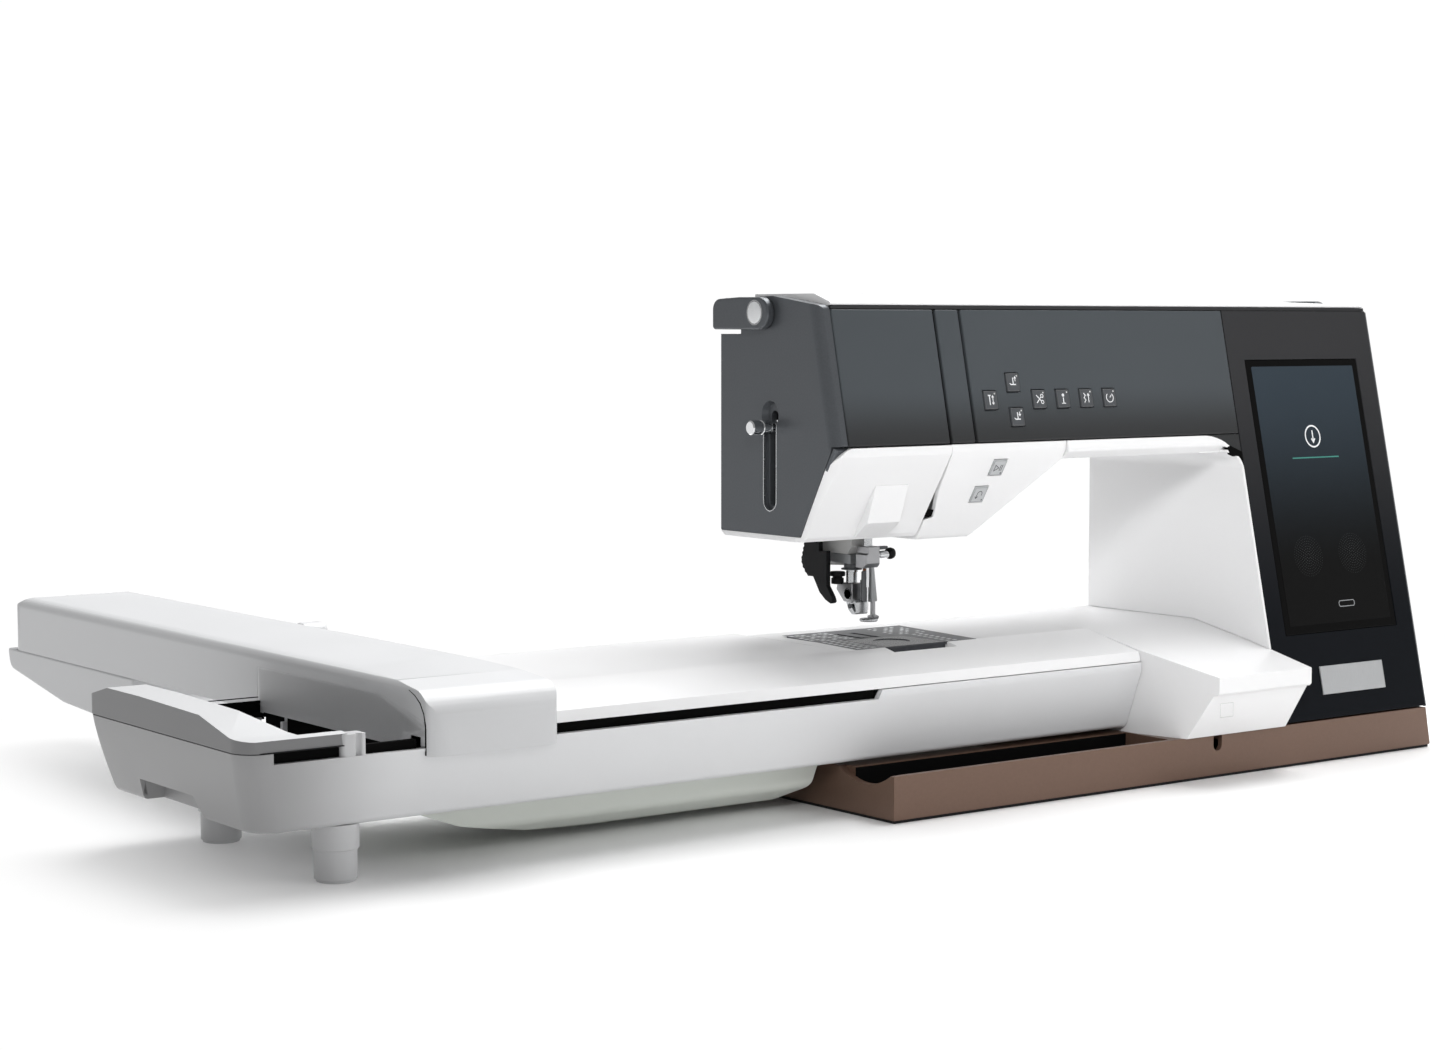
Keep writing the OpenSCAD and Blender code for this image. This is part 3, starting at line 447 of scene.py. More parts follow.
# ---------------------------------------------------------------- more builders
def join(first, *others):
    """one object from several, each with its own materials"""
    bpy.context.view_layer.update()
    bm = bmesh.new()
    mats = []
    for o in (first, *others):
        base = len(mats)
        mats += list(o.data.materials)
        before = len(bm.faces)
        bm.from_mesh(o.data)
        bm.faces.ensure_lookup_table()
        for f in bm.faces[before:]:
            f.material_index += base
    me = bpy.data.meshes.new(first.name)
    bm.to_mesh(me)
    bm.free()
    for m in mats:
        me.materials.append(m)
    first.data = me
    for o in others:
        bpy.data.objects.remove(o)
    return first


def stadium(cy, r, z0, z1):
    """upright slot outline (y, z) with round ends whose centres are at z0 and z1"""
    steps = 10
    turns = [math.pi * k / steps for k in range(steps + 1)]
    top = [(cy + r * math.cos(t), z1 + r * math.sin(t)) for t in turns]
    low = [(cy - r * math.cos(t), z0 - r * math.sin(t)) for t in turns]
    return top + low


def slope_prism(name, pts, z0, z1, mat):
    """solid that runs up the leaning front: outline (x, distance out of the face)"""
    flat = rounded(pts, 8)
    rings = [[(Vector((u, front_y(z), z)) + FRONT_OUT * d) * MM for u, d in flat] for z in (z0, z1)]
    return skin(name, *rings, mat)


def plane_marks(name, strokes, origin, right, upward, out, height, mat):
    """thin raised lines on a face. strokes: [(points, width)] in mm from origin"""
    bm = bmesh.new()
    for pts, w in strokes:
        closed = pts[0] == pts[-1] and len(pts) > 2
        pts = pts[:-1] if closed else pts
        n = len(pts)
        left, rightside = [], []
        for i, c in enumerate(pts):
            a = pts[i - 1] if (i > 0 or closed) else None
            b = pts[(i + 1) % n] if (i < n - 1 or closed) else None
            dirs = []
            if a:
                dirs.append(unit2((c[0] - a[0], c[1] - a[1])))
            if b:
                dirs.append(unit2((b[0] - c[0], b[1] - c[1])))
            dx = sum(d[0] for d in dirs) / len(dirs)
            dy = sum(d[1] for d in dirs) / len(dirs)
            k = max(0.45, math.hypot(dx, dy))
            nx, ny = unit2((-dy, dx)) if math.hypot(dx, dy) > 1e-6 else (0, 1)
            h = w / 2 / k
            left.append((c[0] + nx * h, c[1] + ny * h))
            rightside.append((c[0] - nx * h, c[1] - ny * h))
        segs = n if closed else n - 1
        for i in range(segs):
            j = (i + 1) % n
            quad = [left[i], left[j], rightside[j], rightside[i]]
            low = [bm.verts.new((origin + right * u + upward * v) * MM) for u, v in quad]
            top = [bm.verts.new((origin + right * u + upward * v + out * height) * MM) for u, v in quad]
            bm.faces.new(low)
            bm.faces.new(top)
            for a in range(4):
                b = (a + 1) % 4
                bm.faces.new((low[a], low[b], top[b], top[a]))
    return add(name, bm, mat)


def ring(r, cx=0, cy=0, n=20, a0=0, a1=360):
    """stroke along a circle or an arc, from angle a0 to a1 in degrees"""
    turns = [math.radians(a0 + (a1 - a0) * k / n) for k in range(n + 1)]
    return [(cx + r * math.cos(t), cy + r * math.sin(t)) for t in turns]


def chin_prism(name, pts, z0, z1, mat):
    """solid that runs up the slanted chin: outline (x, distance out of the face)"""
    flat = rounded(pts, 8)
    rings = [[(Vector((u, chin_y(z), z)) + CHIN_OUT * d) * MM for u, d in flat] for z in (z0, z1)]
    return skin(name, *rings, mat)


# ---------------------------------------------------------------- chin under the dark panels
chin = prism("chin_left_shell", "x", [(front_y(224.7), 224.7), (-51, 219, 2), (-18.5, 168, 2),
    (-16, 165.5, 1), (89.6, 165.5), (89.6, 168.5), (-15.7, 168.5), (-45.6, 221.2), (-45.8, 224.7)], -260,
    -166.8, WHITE)
cut(chin, chin_prism("chin_edge_keep", [(-260, -160), (-150, -160), (-150, 0.3), (-260, 0.3, 8)], 130, 240,
        WHITE),
    prism("chin_corner_keep", "y", [(-260, 150), (-150, 150), (-150, 225.4), (-260, 225.4, 16)], -100, 100,
        WHITE),
    prism("chin_rear_keep", "z", [(-261, -70), (-160, -70), (-160, 89.6), (-233, 89.6), (-252.4, 66.4),
        (-261, 66.4)], 150, 240, WHITE),
    how="INTERSECT")
cut(chin, prism("needle_opening", "z", [(-190, 20), (-140, 20), (-140, 100), (-190, 100)], 160, 171.5,
    WHITE))
light_box = prism("lamp_housing", "x", [(-39.8, 200.5), (-31.4, 176.4, 1.5), (-19.2, 167.2), (-12, 167.2),
    (-30, 200.5)], -219, -192, WHITE)
stands_for(join(soften(chin, 0.8, 3, 28), soften(light_box, 0.6, 3)), "head_lower_left")
with_node(chin_prism("chin_corner_backing", [(-259.6, -5.6), (-243, -5.6), (-243, -3.2), (-259.6, -3.2, 2)],
    208.6, 222, SIDE), "head_side_plate")
chin_right = clean(node_copy("head_lower_right", "chin_right_shell", WHITE))
cut(chin_right, prism("gap_cutter", "y", [(-180, 150), (-166.2, 150), (-166.2, 176.2), (-159.6, 177.8),
        (-164.4, 195), (-166.2, 222), (-166.2, 235), (-180, 235)], -80, -8, WHITE),
    prism("rear_cutter", "y", [(-180, 150), (-166.2, 150), (-166.2, 235), (-180, 235)], -8.1, 100, WHITE))
stands_for(soften(chin_right, 1.0, 3), "head_lower_right")
# painted shade: a grey sheet behind the thread gap stands for its shaded inside
with_node(prism("thread_gap_shade_liner", "x", [(-44, 221), (-18, 176), (-10, 176), (-10, 221)], -176, -157,
    GAP_SHADE), "head_lower_left")
# painted shadow: a black block at the lower end of the thread gap, where shade falls
with_node(prism("thread_gap_shadow", "x", [(-27.6, 182.6), (-24.9, 178.2), (-16, 178.2), (-16, 182.6)], -166.4,
    -160.6, SHADOW), "head_lower_left")

# ---------------------------------------------------------------- head's side plate
SLOT_Y = 14.6
plate = prism("side_plate_shell", "x", [(-31.8, 312, 5), (-50.8, 225.8, 1), (-45.6, 225.8), (-45.2, 221.4),
              (-15.5, 168.6, 3), (66, 168.6, 1), (66, 294.2), (45, 294.2), (44, 317, 2), (12, 318, 8)],
              -260, -250.3, SIDE)
cut(plate, slope_prism("side_plate_keep", [(-260, -220), (-240, -220), (-240, -0.2), (-260, -0.2, 8.5)],
                       150, 330, SIDE), how="INTERSECT")
cut(plate, prism("slot_recess", "x", stadium(SLOT_Y, 6.2, 190, 243), -262, -257.2, SIDE),
    prism("slot_through", "x", stadium(SLOT_Y, 3.5, 190, 243), -262, -250, SIDE),
    lathe("slot_dish", "x", SLOT_Y, 244, [(9.2, -261), (8.4, -259.4), (6.6, -256.0), (0, -256.0)], SIDE,
        32))
soften(plate, 0.7, 3)
stands_for(plate, "head_side_plate")
lip = prism("slot_lip", "x", stadium(SLOT_Y, 6.9, 190, 242), -260.25, -259.0, STEEL)
cut(lip, prism("slot_lip_hole", "x", stadium(SLOT_Y, 6.1, 190, 242), -261, -258, STEEL),
    prism("slot_lip_top", "x", [(0, 238), (30, 238), (30, 260), (0, 260)], -261, -258, STEEL))
with_node(soften(lip, 0.25, 2), "head_side_plate")
with_node(prism("slot_shadow_liner", "x", stadium(SLOT_Y, 4.2, 188, 244), -251.4, -250.6, BLACK),
    "head_side_plate")

# ---------------------------------------------------------------- threader knob
knob = lathe("threader_knob_turned", "x", SLOT_Y, 236, [(0, -276), (3.7, -276), (4.5, -275.2),
    (4.5, -268.6), (4.0, -268.2), (4.0, -267.6), (4.5, -267.2), (4.5, -261.4), (3.9, -260.6), (2.2, -260.6),
    (2.2, -254.4), (4.4, -254.4), (4.4, -252.2), (0, -252.2)], CHROME, 40)
stands_for(smooth(knob, 30), "threader_knob")

# ---------------------------------------------------------------- carry handle
PIVOT_Y, PIVOT_Z = 23, 307.6
HANDLE = [(9.5, 297, 9.8), (67.5, 297, 2.5), (67.5, 316.2, 7), (40, 317.4, 30), (9.5, 317.2, 10)]
parts = []
for x0, x1 in ((-266, -260.4), (250, 255.6)):
    end = prism("handle_end", "x", HANDLE, x0, x1, SIDE, 8)
    parts.append(soften(end, 1.3, 4, 50))
grip = prism("handle_grip", "x", [(47, 297, 5), (67.5, 297, 5), (67.5, 317, 7), (47, 317, 5)], -260.6,
    250.2, SIDE)
parts.append(soften(grip, 0.6, 2, 50))
handle = join(*parts)
handle.name = "carry_handle_bail"
stands_for(handle, "carry_handle")
for x, s in ((-266, -1), (255.6, 1)):
    cap = lathe("handle_pivot_cap", "x", PIVOT_Y, PIVOT_Z, [(0, x + s * 0.45), (6.4, x + s * 0.45),
        (6.9, x + s * 0.2), (7.0, x - s * 0.6), (0, x - s * 0.6)], DISC, 48)
    with_node(smooth(cap, 30), "carry_handle")
    groove = lathe("handle_pivot_groove", "x", PIVOT_Y, PIVOT_Z, [(7.1, x + s * 0.12), (7.9, x + s * 0.12),
                   (7.9, x - s * 0.3), (7.1, x - s * 0.3), (7.1, x + s * 0.12)], CHROME, 48)
    with_node(smooth(groove, 30), "carry_handle")

# ---------------------------------------------------------------- lid, front lip and backing of the seams
lid = prism("lid_shell", "x", [(-32.3, 312.3, 0.8), (-31.2, 314.2, 2), (-16, 319.3, 10), (44, 319.3, 0.6),
            (44, 310.4, 0.6), (-20, 310.4)], -249.4, 243.8, WHITE, 8)
cut(lid, prism("lid_keep", "y", [(-250, 309), (245, 309), (245, 314), (100, 317.4), (-60, 319.3),
        (-250, 319.4)], -40, 50, WHITE),
    how="INTERSECT")
stands_for(soften(lid, 0.7, 3), "top_lid")
with_node(soften(on_front(rect(-249.8, 244.2, 310.0, 312.0), -9, -0.4, "front_top_lip", COLUMN), 0.3, 2),
          "arm_front_panel")
with_node(on_front(rect(-249.8, 94.8, 226.4, 309.4), -5.4, -4.6, "seam_backing", BLACK), "arm_front_panel")

# ---------------------------------------------------------------- screen
SCREEN_SINK, SCREEN_MARK = -0.05, 0.03


def screen_marks(name, strokes, x, z, mat):
    at = Vector((x, front_y(z), z)) + FRONT_OUT * SCREEN_SINK
    with_node(plane_marks(name, strokes, at, RIGHT, FRONT_UP, FRONT_OUT, SCREEN_MARK, mat), "screen_glass")


screen = on_front(rect(116.7, 222, 93.5, 271, 1), -0.19, SCREEN_SINK, "screen_active_area", SCREEN)
with_node(screen, "screen_glass")
# two discs of dots that grow smaller outwards
DOT_PITCH, DOT_SIZE, DOT_SHRINK = 1.75, 0.62, 0.055
dots = []
for cx in (146, 192):
    for k in range(1, 9):
        for a in range(6 * k):
            w = 2 * math.pi * (a + 0.5 * (k % 2)) / (6 * k)
            size = DOT_SIZE * (1 - DOT_SHRINK * k)
            x, z = cx + DOT_PITCH * k * math.cos(w), DOT_PITCH * k * math.sin(w)
            dots.append(([(x - size / 2, z), (x + size / 2, z)], size))
screen_marks("screen_dot_pattern", dots, 0, 140, DOT)
ARROW = [(-1.8, -1.6), (0, -4.2), (1.8, -1.6)]
screen_marks("screen_icon", [(ring(7.5, n=36), 1.1), ([(0, -4.2), (0, 4.2)], 1.1), (ARROW, 1.0)], 169, 222,
    MARK)
screen_marks("screen_progress_line", [([(-24, -15), (24, -15)], 0.9)], 169, 222, MARK_GREEN)
LOZENGE = [(-7, -2), (-8, -1), (-8, 1), (-7, 2), (7, 2), (8, 1), (8, -1), (7, -2), (-7, -2)]
screen_marks("screen_frame_mark", [(LOZENGE, 0.5)], 178, 106, MARK_GREY)

# ---------------------------------------------------------------- buttons
# generic icons: each stroke is (points, width) in mm from the button's middle
PRESSER_FOOT = [
    ([(-2.2, -1.5), (2.2, -1.5)], .7),
    ([(-2.2, -1.5), (-2.9, -.6)], .6),
    ([(0, -1.5), (0, 3)], .7)]
NEEDLE_SIGN = [([(-1, -3.2), (-1, 3)], .7), ([(-2.2, 3), (.2, 3)], .8), ([(1.7, -2.6), (1.7, 2.6)], .5)]
BLADES = [([(-2.6, 2.6), (1.6, -1.6)], .6), ([(-2.6, -2.6), (1.6, 1.6)], .6)]
ZIGZAG = [(-2.4, -3), (-1, -1.4), (-2.4, .2), (-1, 1.8), (-2.4, 3.2)]
PLAY = [(-3, -2.2), (-3, 2.2), (.4, 0), (-3, -2.2)]
HOOK_BACK = [(-1.9, -2.6), (-1.9, 1.2), (-1.2, 2.3), (0, 2.7), (1.2, 2.3), (1.9, 1.2), (1.9, -.6)]
ICONS = {
    "presser_up_button": PRESSER_FOOT + [
        ([(1.9, .6), (1.9, 3.4)], .5),
        ([(1.0, 2.4), (1.9, 3.6), (2.8, 2.4)], .5)],
    "needle_position_button": NEEDLE_SIGN + [
        ([(.8, 1.6), (1.7, 2.8), (2.6, 1.6)], .5),
        ([(.8, -1.6), (1.7, -2.8), (2.6, -1.6)], .5)],
    "presser_down_button": PRESSER_FOOT + [
        ([(1.9, .8), (1.9, 3.4)], .5),
        ([(1.0, 1.9), (1.9, .7), (2.8, 1.9)], .5)],
    "thread_cut_button": BLADES + [
        (ring(1.1, 2.3, -2.0, 12), .5),
        (ring(1.1, 2.3, 2.0, 12), .5)],
    "stitch_restart_button": [
        ([(0, -3.2), (0, .6)], .7),
        (ring(.7, 0, 2.2, 8), .7),
        ([(-1.8, -3.2), (1.8, -3.2)], .5)],
    "stitch_mode_button": [
        (ZIGZAG, .55),
        ([(1.6, -3), (1.6, 2.6)], .6),
        ([(.7, 1.6), (1.6, 2.9), (2.5, 1.6)], .5)],
    "speed_button": [(ring(3.1, n=28, a0=-230, a1=50), .55), ([(0, 0), (1.5, 1.6)], .6)],
    "start_stop_button": [
        (PLAY, .5),
        ([(1.6, -2.3), (1.6, 2.3)], .5),
        ([(3.0, -2.3), (3.0, 2.3)], .5)],
    "reverse_button": [
        (HOOK_BACK, .5),
        ([(-3.0, -1.3), (-1.9, -2.8), (-.8, -1.3)], .5)],
}
# column and row of each button, counted from the right end of the middle row
SPOTS = {
    "presser_up_button": (4, 1), "needle_position_button": (5, 0), "presser_down_button": (4, -1),
    "thread_cut_button": (3, 0), "stitch_restart_button": (2, 0), "stitch_mode_button": (1, 0),
    "speed_button": (0, 0),
}
BUTTON_X, COLUMN_STEP, ROW_STEP, BUTTON_ROW_Z = -24.2, 21.1, 11.3, 252.1
ICON_LIFT, EDGE_LINE, ICON_LINE, LIGHT_DOT = 0.58, 0.07, 0.09, 0.10
ROUND_RECT = [(-4.7, -5.4), (4.7, -5.4), (5.0, -5.1), (5.0, 5.1), (4.7, 5.4), (-4.7, 5.4), (-5.0, 5.1),
    (-5.0, -5.1), (-4.7, -5.4)]
for node, strokes in ICONS.items():
    if node in SPOTS:
        col, row = SPOTS[node]
        climb = (BUTTON_ROW_Z - FRONT_FOOT_Z) / math.cos(LEAN) + ROW_STEP * row
        at = Vector((BUTTON_X - COLUMN_STEP * col, FRONT_FOOT_Y, FRONT_FOOT_Z)) + FRONT_UP * climb
        up, out, mark, rim, led = FRONT_UP, FRONT_OUT, MARK, RIM, LED
    else:
        x, z = {"start_stop_button": (-122, 209), "reverse_button": (-128.6, 191.5)}[node]
        at = Vector((x, chin_y(z), z))
        up, out, mark, rim, led = CHIN_UP, CHIN_OUT, MARK_DARK, MARK_GREY, MARK_DARK
    at = at + out * ICON_LIFT
    with_node(plane_marks(node + "_icon", strokes, at, RIGHT, up, out, ICON_LINE, mark), node)
    with_node(plane_marks(node + "_edge_line", [(ROUND_RECT, .45)], at, RIGHT, up, out, EDGE_LINE, rim),
        node)
    dot_at = (3.6, 4.1) if node in SPOTS else (3.6, -4.0)
    with_node(plane_marks(node + "_light", [([(dot_at[0] - .5, dot_at[1]), (dot_at[0] + .5, dot_at[1])],
        1.0)], at, RIGHT, up, out, LIGHT_DOT, led), node)

# ---------------------------------------------------------------- needle plate's guide lines
PLATE_TOP = 95
lines = []
for j in range(6):
    y = 38 + 6.2 * j
    edge = 0.11 * (y - 37)
    for i in range(7):
        if (i + j) % 4:
            lines.append(([(-205 + edge + 4.8 * i, y), (-201.8 + edge + 4.8 * i, y)], 2.6))
        if (i + 2 * j) % 3 and i < 6:
            lines.append(([(-138 + edge + 4.8 * i, y), (-135.4 + edge + 4.8 * i, y)], 2.2))
for j in range(7):
    y = -8 + 6.4 * j
    edge = 0.11 * (y + 12)
    for i in range(3 if y < 32 else 5):
        lines.append(([(-209 + edge + 6.2 * i, y), (-205.4 + edge + 6.2 * i, y)], 2.4))
        if i < 2:
            lines.append(([(-127 + edge - 6 * i, y), (-124 + edge - 6 * i, y)], 2.0))
with_node(plane_marks("needle_plate_guide_lines", lines, Vector((0, 0, PLATE_TOP)), RIGHT, BACK, UP, 0.05,
    MARK), "needle_plate")

# ---------------------------------------------------------------- embroidery arm
ARM_LEFT, ARM_RIGHT, ARM_FRONT, ARM_BACK = -556, -472, -70.5, 530
arm = prism("embroidery_arm_cover", "x", [(ARM_FRONT, 67), (ARM_FRONT + 0.5, 100.5, 18), (-30, 105, 30),
    (40, 107.5, 60), (ARM_BACK - 34, 107.5, 30), (ARM_BACK, 92, 24), (ARM_BACK, 66)], ARM_LEFT, ARM_RIGHT,
    ARM, 10)
cut(arm, prism("arm_section", "y", [(ARM_LEFT, 60), (ARM_RIGHT, 60), (ARM_RIGHT, 107.5, 7),
        (ARM_LEFT, 107, 8)], -80, 540, ARM, 8),
    how="INTERSECT")
corner = [(ARM_LEFT + 15 * (1 - math.cos(math.radians(a))),
    -64 - 6.5 * math.sin(math.radians(a))) for a in range(0, 91, 9)]
cut(arm, prism("arm_plan", "z", corner + [(ARM_RIGHT, ARM_FRONT, 7), (ARM_RIGHT, ARM_BACK, 28),
        (ARM_LEFT, ARM_BACK, 28)], 50, 120, ARM, 10),
    how="INTERSECT")
cut(arm, prism("arm_under_cut", "x", [(-65.2, 50), (-65.2, 82), (-63.4, 85.6), (-13.8, 95.6), (134, 95.6),
    (134, 69), (541, 69), (541, 50)], -560, -470, ARM))
stands_for(soften(arm, 0.25, 2, 40), "arm_shell")
with_node(prism("arm_cover_seam", "x", [(-65.1, 67.5), (-65.1, 84), (-63.5, 90.2), (-59.6, 95.7),
    (-53.8, 99.4), (-47, 101.5), (-47, 101.4), (-53.5, 98.9), (-59, 95), (-62.7, 89.6), (-64.2, 83.8),
    (-64.2, 67.5)], ARM_LEFT - 0.08, ARM_LEFT + 0.5, SHADOW), "arm_shell")
with_node(prism("plate_end_cover", "x", [(-64.2, 72.5), (-64.2, 82), (-62.6, 85.7), (-13.7, 95.48),
    (133.6, 95.48), (133.6, 69.0), (-39, 69.0)], ARM_LEFT, ARM_LEFT + 2.5, ARM_END), "unit_top_plate")
with_node(prism("rim_seam", "z", [(-664.5, -64.5, 13.5), (-603, -64.5), (-603, -62), (-662, -62, 11),
    (-662, 131), (-557, 131), (-557, 131.6), (-664.5, 131.6, 7.5)], 77.35, 77.95, BLACK), "unit_body")

# ---------------------------------------------------------------- column
column = on_front(rect(95.1, 244.6, 30.2, 309.8, 0.4), -4, 0, "column_panel_gloss", COLUMN)
cut(column, on_front(rect(111.1, 227.4, 87.6, 275.9), -2.3, 1, "screen_pocket", BLACK))
stands_for(soften(column, 0.8, 3), "column_front_panel")

right = clean(node_copy("right_side_cover", "right_side_shell", SIDE))
cut(right, slope_prism("right_keep", [(244.7, -260), (249.5, -260), (249.5, -0.8, 4.6), (244.7, -0.8)], 20,
        330, SIDE),
    how="INTERSECT")
stub = lathe("right_handle_stud", "x", 23, 309, [(0, 249), (3, 249), (3, 255.4), (0, 255.4)], SIDE, 32)
stands_for(join(soften(right, 0.5, 2), smooth(stub)), "right_side_cover")

socket_cover = Vector((11, -121.05, 50))
with_node(plane_marks("socket_cover_outline", [([(-6, -4.5), (6, -4.5), (6, 4.5), (-6, 4.5), (-6, -4.5)],
    0.4)], socket_cover, RIGHT, UP, Vector((0, -1, 0)), 0.05, LED), "column_base_cover")

# thin white wall round the sewing space: underside of the arm, rounded corner, column side
CORNER_X, CORNER_Z = 81, 201
CORNER_IN, CORNER_OUT = 12, 14


def corner_arc(radius, angles):
    """points round the corner of the sewing space, from straight up towards the column"""
    turns = [math.radians(a) for a in angles]
    return [(CORNER_X + radius * math.sin(t), CORNER_Z + radius * math.cos(t)) for t in turns]


path_in = corner_arc(CORNER_IN, range(0, 91, 6))
path_out = corner_arc(CORNER_OUT, range(90, -1, -6))
inner = prism("column_inner_wall", "y", [(60, 213)] + path_in + [(93, 60),
    (95, 60)] + path_out + [(60, 215)], -100, 89.6, WHITE)
cut(inner, slope_prism("inner_keep", [(50, -260), (110, -260), (110, -0.1), (50, -0.1)], 20, 330, WHITE),
    how="INTERSECT")
cut(inner, prism("inner_low_cut", "x", [(-130, 40), (-130, 69.6), (-121, 71.6), (-62, 85.1), (-13, 95.1),
        (95, 95.1), (95, 40)], 40, 110, WHITE),
    prism("inner_left_cut", "y", [(50, 212), (60.6, 212), (60.6, 216), (50, 216)], -110, 95, WHITE),
    prism("inner_front_cut", "y", [(50, 212), (80, 212), (80, 216), (50, 216)], -110, -47, WHITE))
stands_for(soften(inner, 0.5, 3), "column_inner_cover")
FALL = [(62, 225), (67.1, 224.4), (72, 223.2), (76.3, 221.7), (80.3, 219.8), (83.9, 217.7)]
under = prism("arm_under_shell", "x", [(front_y(225), 225), (front_y(218.5), 218.5, 3), (-46, 213, 4),
    (89.6, 213), (89.6, 216), (-44, 216), (-48.4, 221), (-48.4, 225)], -67.6, 82, WHITE, 8)
cut(under, on_front([(60, 230), (60, 225.1)] + FALL + [(90, 214), (90, 230)], -9, 3, "under_corner_cutter",
    WHITE))
stands_for(soften(under, 0.5, 3), "arm_under_cover")
with_node(on_front([(60, 225.5)] + [(u, v - 3) for u, v in FALL] + [(94.9, 208), (94.9, 225.5)], -3.2, -0.7,
                   "corner_notch_filler", PANEL), "column_front_panel")
web = on_front(FALL[1:] + [(81.2, 216.6), (76, 218.4), (70, 219.2), (62, 219.4), (62, 224.9)], -2.6, -0.05,
    "corner_white_web", WHITE)
with_node(soften(web, 0.4, 2), "arm_under_cover")
with_node(on_front([(80.8, 216.4), (84.2, 217.7), (94.9, 213.3), (94.9, 207.4), (90.8, 210.4),
    (86.8, 210.8), (82.8, 212.2)], -2.2, 0.04, "corner_notch_shadow", SHADOW), "column_front_panel")

# ---------------------------------------------------------------- embroidery unit's body
UNIT_FOOT_Z, UNIT_WALL, UNIT_FRONT_WALL = 32, 45.7, 39.5
UNIT_LEFT, UNIT_FRONT, UNIT_TAPER = -665, -65, 14


def unit_ring(z, inset=0.0):
    """outline of the unit at height z: its left end and its front draw in towards the bottom"""
    t = max(0.0, min(1.0, (z - UNIT_FOOT_Z) / UNIT_WALL))
    left = UNIT_LEFT + UNIT_TAPER * (1 - t) ** 1.25 + inset
    front = UNIT_FRONT + UNIT_TAPER * max(0.0, 1 - (z - UNIT_FOOT_Z) / UNIT_FRONT_WALL) + inset
    pts = [(left, front, 15 - inset / 2), (-10.6 - inset, front), (-10.6 - inset, -13.6 - inset),
        (-220.8, -13.6 - inset), (-220.8, 104.9 - inset), (-556, 104.9 - inset), (-556, 131.8 - inset),
        (left, 131.8 - inset, 9)]
    return [Vector((u, v, z)) * MM for u, v in rounded(pts, 8)]


def loft(name, rings, mat):
    """closed solid through a row of outlines"""
    bm = bmesh.new()
    made = [[bm.verts.new(p) for p in r] for r in rings]
    for a, b in zip(made, made[1:]):
        for i in range(len(a)):
            j = (i + 1) % len(a)
            bm.faces.new((a[i], a[j], b[j], b[i]))
    bm.faces.new(made[0])
    bm.faces.new(made[-1])
    return add(name, bm, mat)


body = loft("embroidery_unit_body", [unit_ring(z, k) for z, k in ((32, 2.2), (32.5, 1.0), (33.6, 0.3),
    (35, 0), (40, 0), (46, 0), (52, 0), (58, 0), (64, 0), (71.5, 0), (77.2, 0))], UNIT)
cut(body, loft("unit_body_hollow", [unit_ring(z, 3.0) for z in (35.2, 45, 60, 80)], UNIT))
cut(body, prism("front_slot", "y", [(-647, 71.5), (-237, 71.5), (-234, 77.4), (-234, 84), (-647, 84)], -70,
        -55, UNIT),
    prism("pit_rear", "z", [(-641.6, 125), (-553.2, 125), (-553.2, 133), (-641.6, 133)], 65.8, 90, UNIT),
    prism("pit_side", "z", [(-559.2, 101), (-553.2, 101), (-553.2, 133), (-559.2, 133)], 65.8, 90, UNIT),
    prism("hand_hold", "x", [(6, 25), (90, 25), (82, 45), (14, 45)], -670, -639, UNIT))
pocket = prism("hand_hold_pocket", "x", [(1, 35), (95, 35), (95, 48), (1, 48)], -652, -635, UNIT)
cut(pocket, prism("pocket_hollow", "x", [(6, 25), (90, 25), (82, 45), (14, 45)], -670, -639, UNIT))
soften(body, 0.45, 2, 40)
stop = prism("arm_stop_post", "z", [(-607, -64.8, 3), (-598.6, -64.8, 1), (-597.6, -62.4, 1.2),
    (-595.8, -62.4, 1.2), (-594.8, -64.8, 1), (-592.4, -64.8, 1), (-592.4, -55, 2), (-607, -55, 2)], 70.4,
    83.6, UNIT)
stands_for(join(body, smooth(pocket, 30), soften(stop, 0.5, 2, 40)), "unit_body")
# painted shadow: black sheets in the front slot, in the pit and under the arm, where there is only shade
with_node(prism("front_slot_shadow_liner", "x", [(-59.6, 60), (-59.6, 77), (-49, 77), (-49, 60)], -556, -236,
    SHADOW), "unit_top_plate")
with_node(prism("pit_front_shadow_liner", "x", [(-61.6, 62), (-61.6, 76.6), (-58, 76.6), (-58, 62)], -646, -560,
    SHADOW), "unit_body")
with_node(prism("pit_rear_shadow_liner", "y", [(-604, 64), (-553.4, 64), (-553.4, 75.6), (-604, 75.6)], 130.4,
    131.2, SHADOW), "unit_body")
with_node(prism("pit_arm_side_shadow_liner", "x", [(-46, 38), (130, 38), (130, 68.8), (-59, 68.8), (-59, 60)],
    -552.8, -552.2, SHADOW), "x_carriage")

# ---------------------------------------------------------------- needle mechanism
NEEDLE_X, NEEDLE_Y, PRESSER_Y = -162, 36.5, 52
LEVER = [(66, 178), (80, 178), (80.2, 156), (81.9, 154.6), (81.4, 153), (82.8, 151.6), (82.3, 150),
    (83.6, 148.6), (83.1, 147), (84.5, 145.4), (84, 143.6), (84.4, 142), (83, 140.4), (83, 138.6),
    (81, 137.6), (80.6, 135.8), (78.4, 134.6), (77.4, 133.2, 1), (71.8, 133.4, 1.5), (64.9, 123.3, 4),
    (58.8, 118.8, 2), (53.4, 116.6, 1.4), (50, 117.6, 1.4), (51.8, 121.4, 2), (55.9, 126.5, 0.8),
    (57.3, 128, 0.8), (57.3, 151.2), (65.2, 150.8)]
lever = soften(prism("dual_feed_arm", "x", [(c[0] + 1.2, *c[1:]) for c in LEVER], -179, -175.4, BLACK), 0.5,
    2)
pin = lathe("dual_feed_pin", "x", 72, 170, [(0, -186.5), (2, -186.5), (2, -171), (0, -171)], STEEL, 24)
stands_for(join(lever, smooth(pin)), "dual_feed_lever")

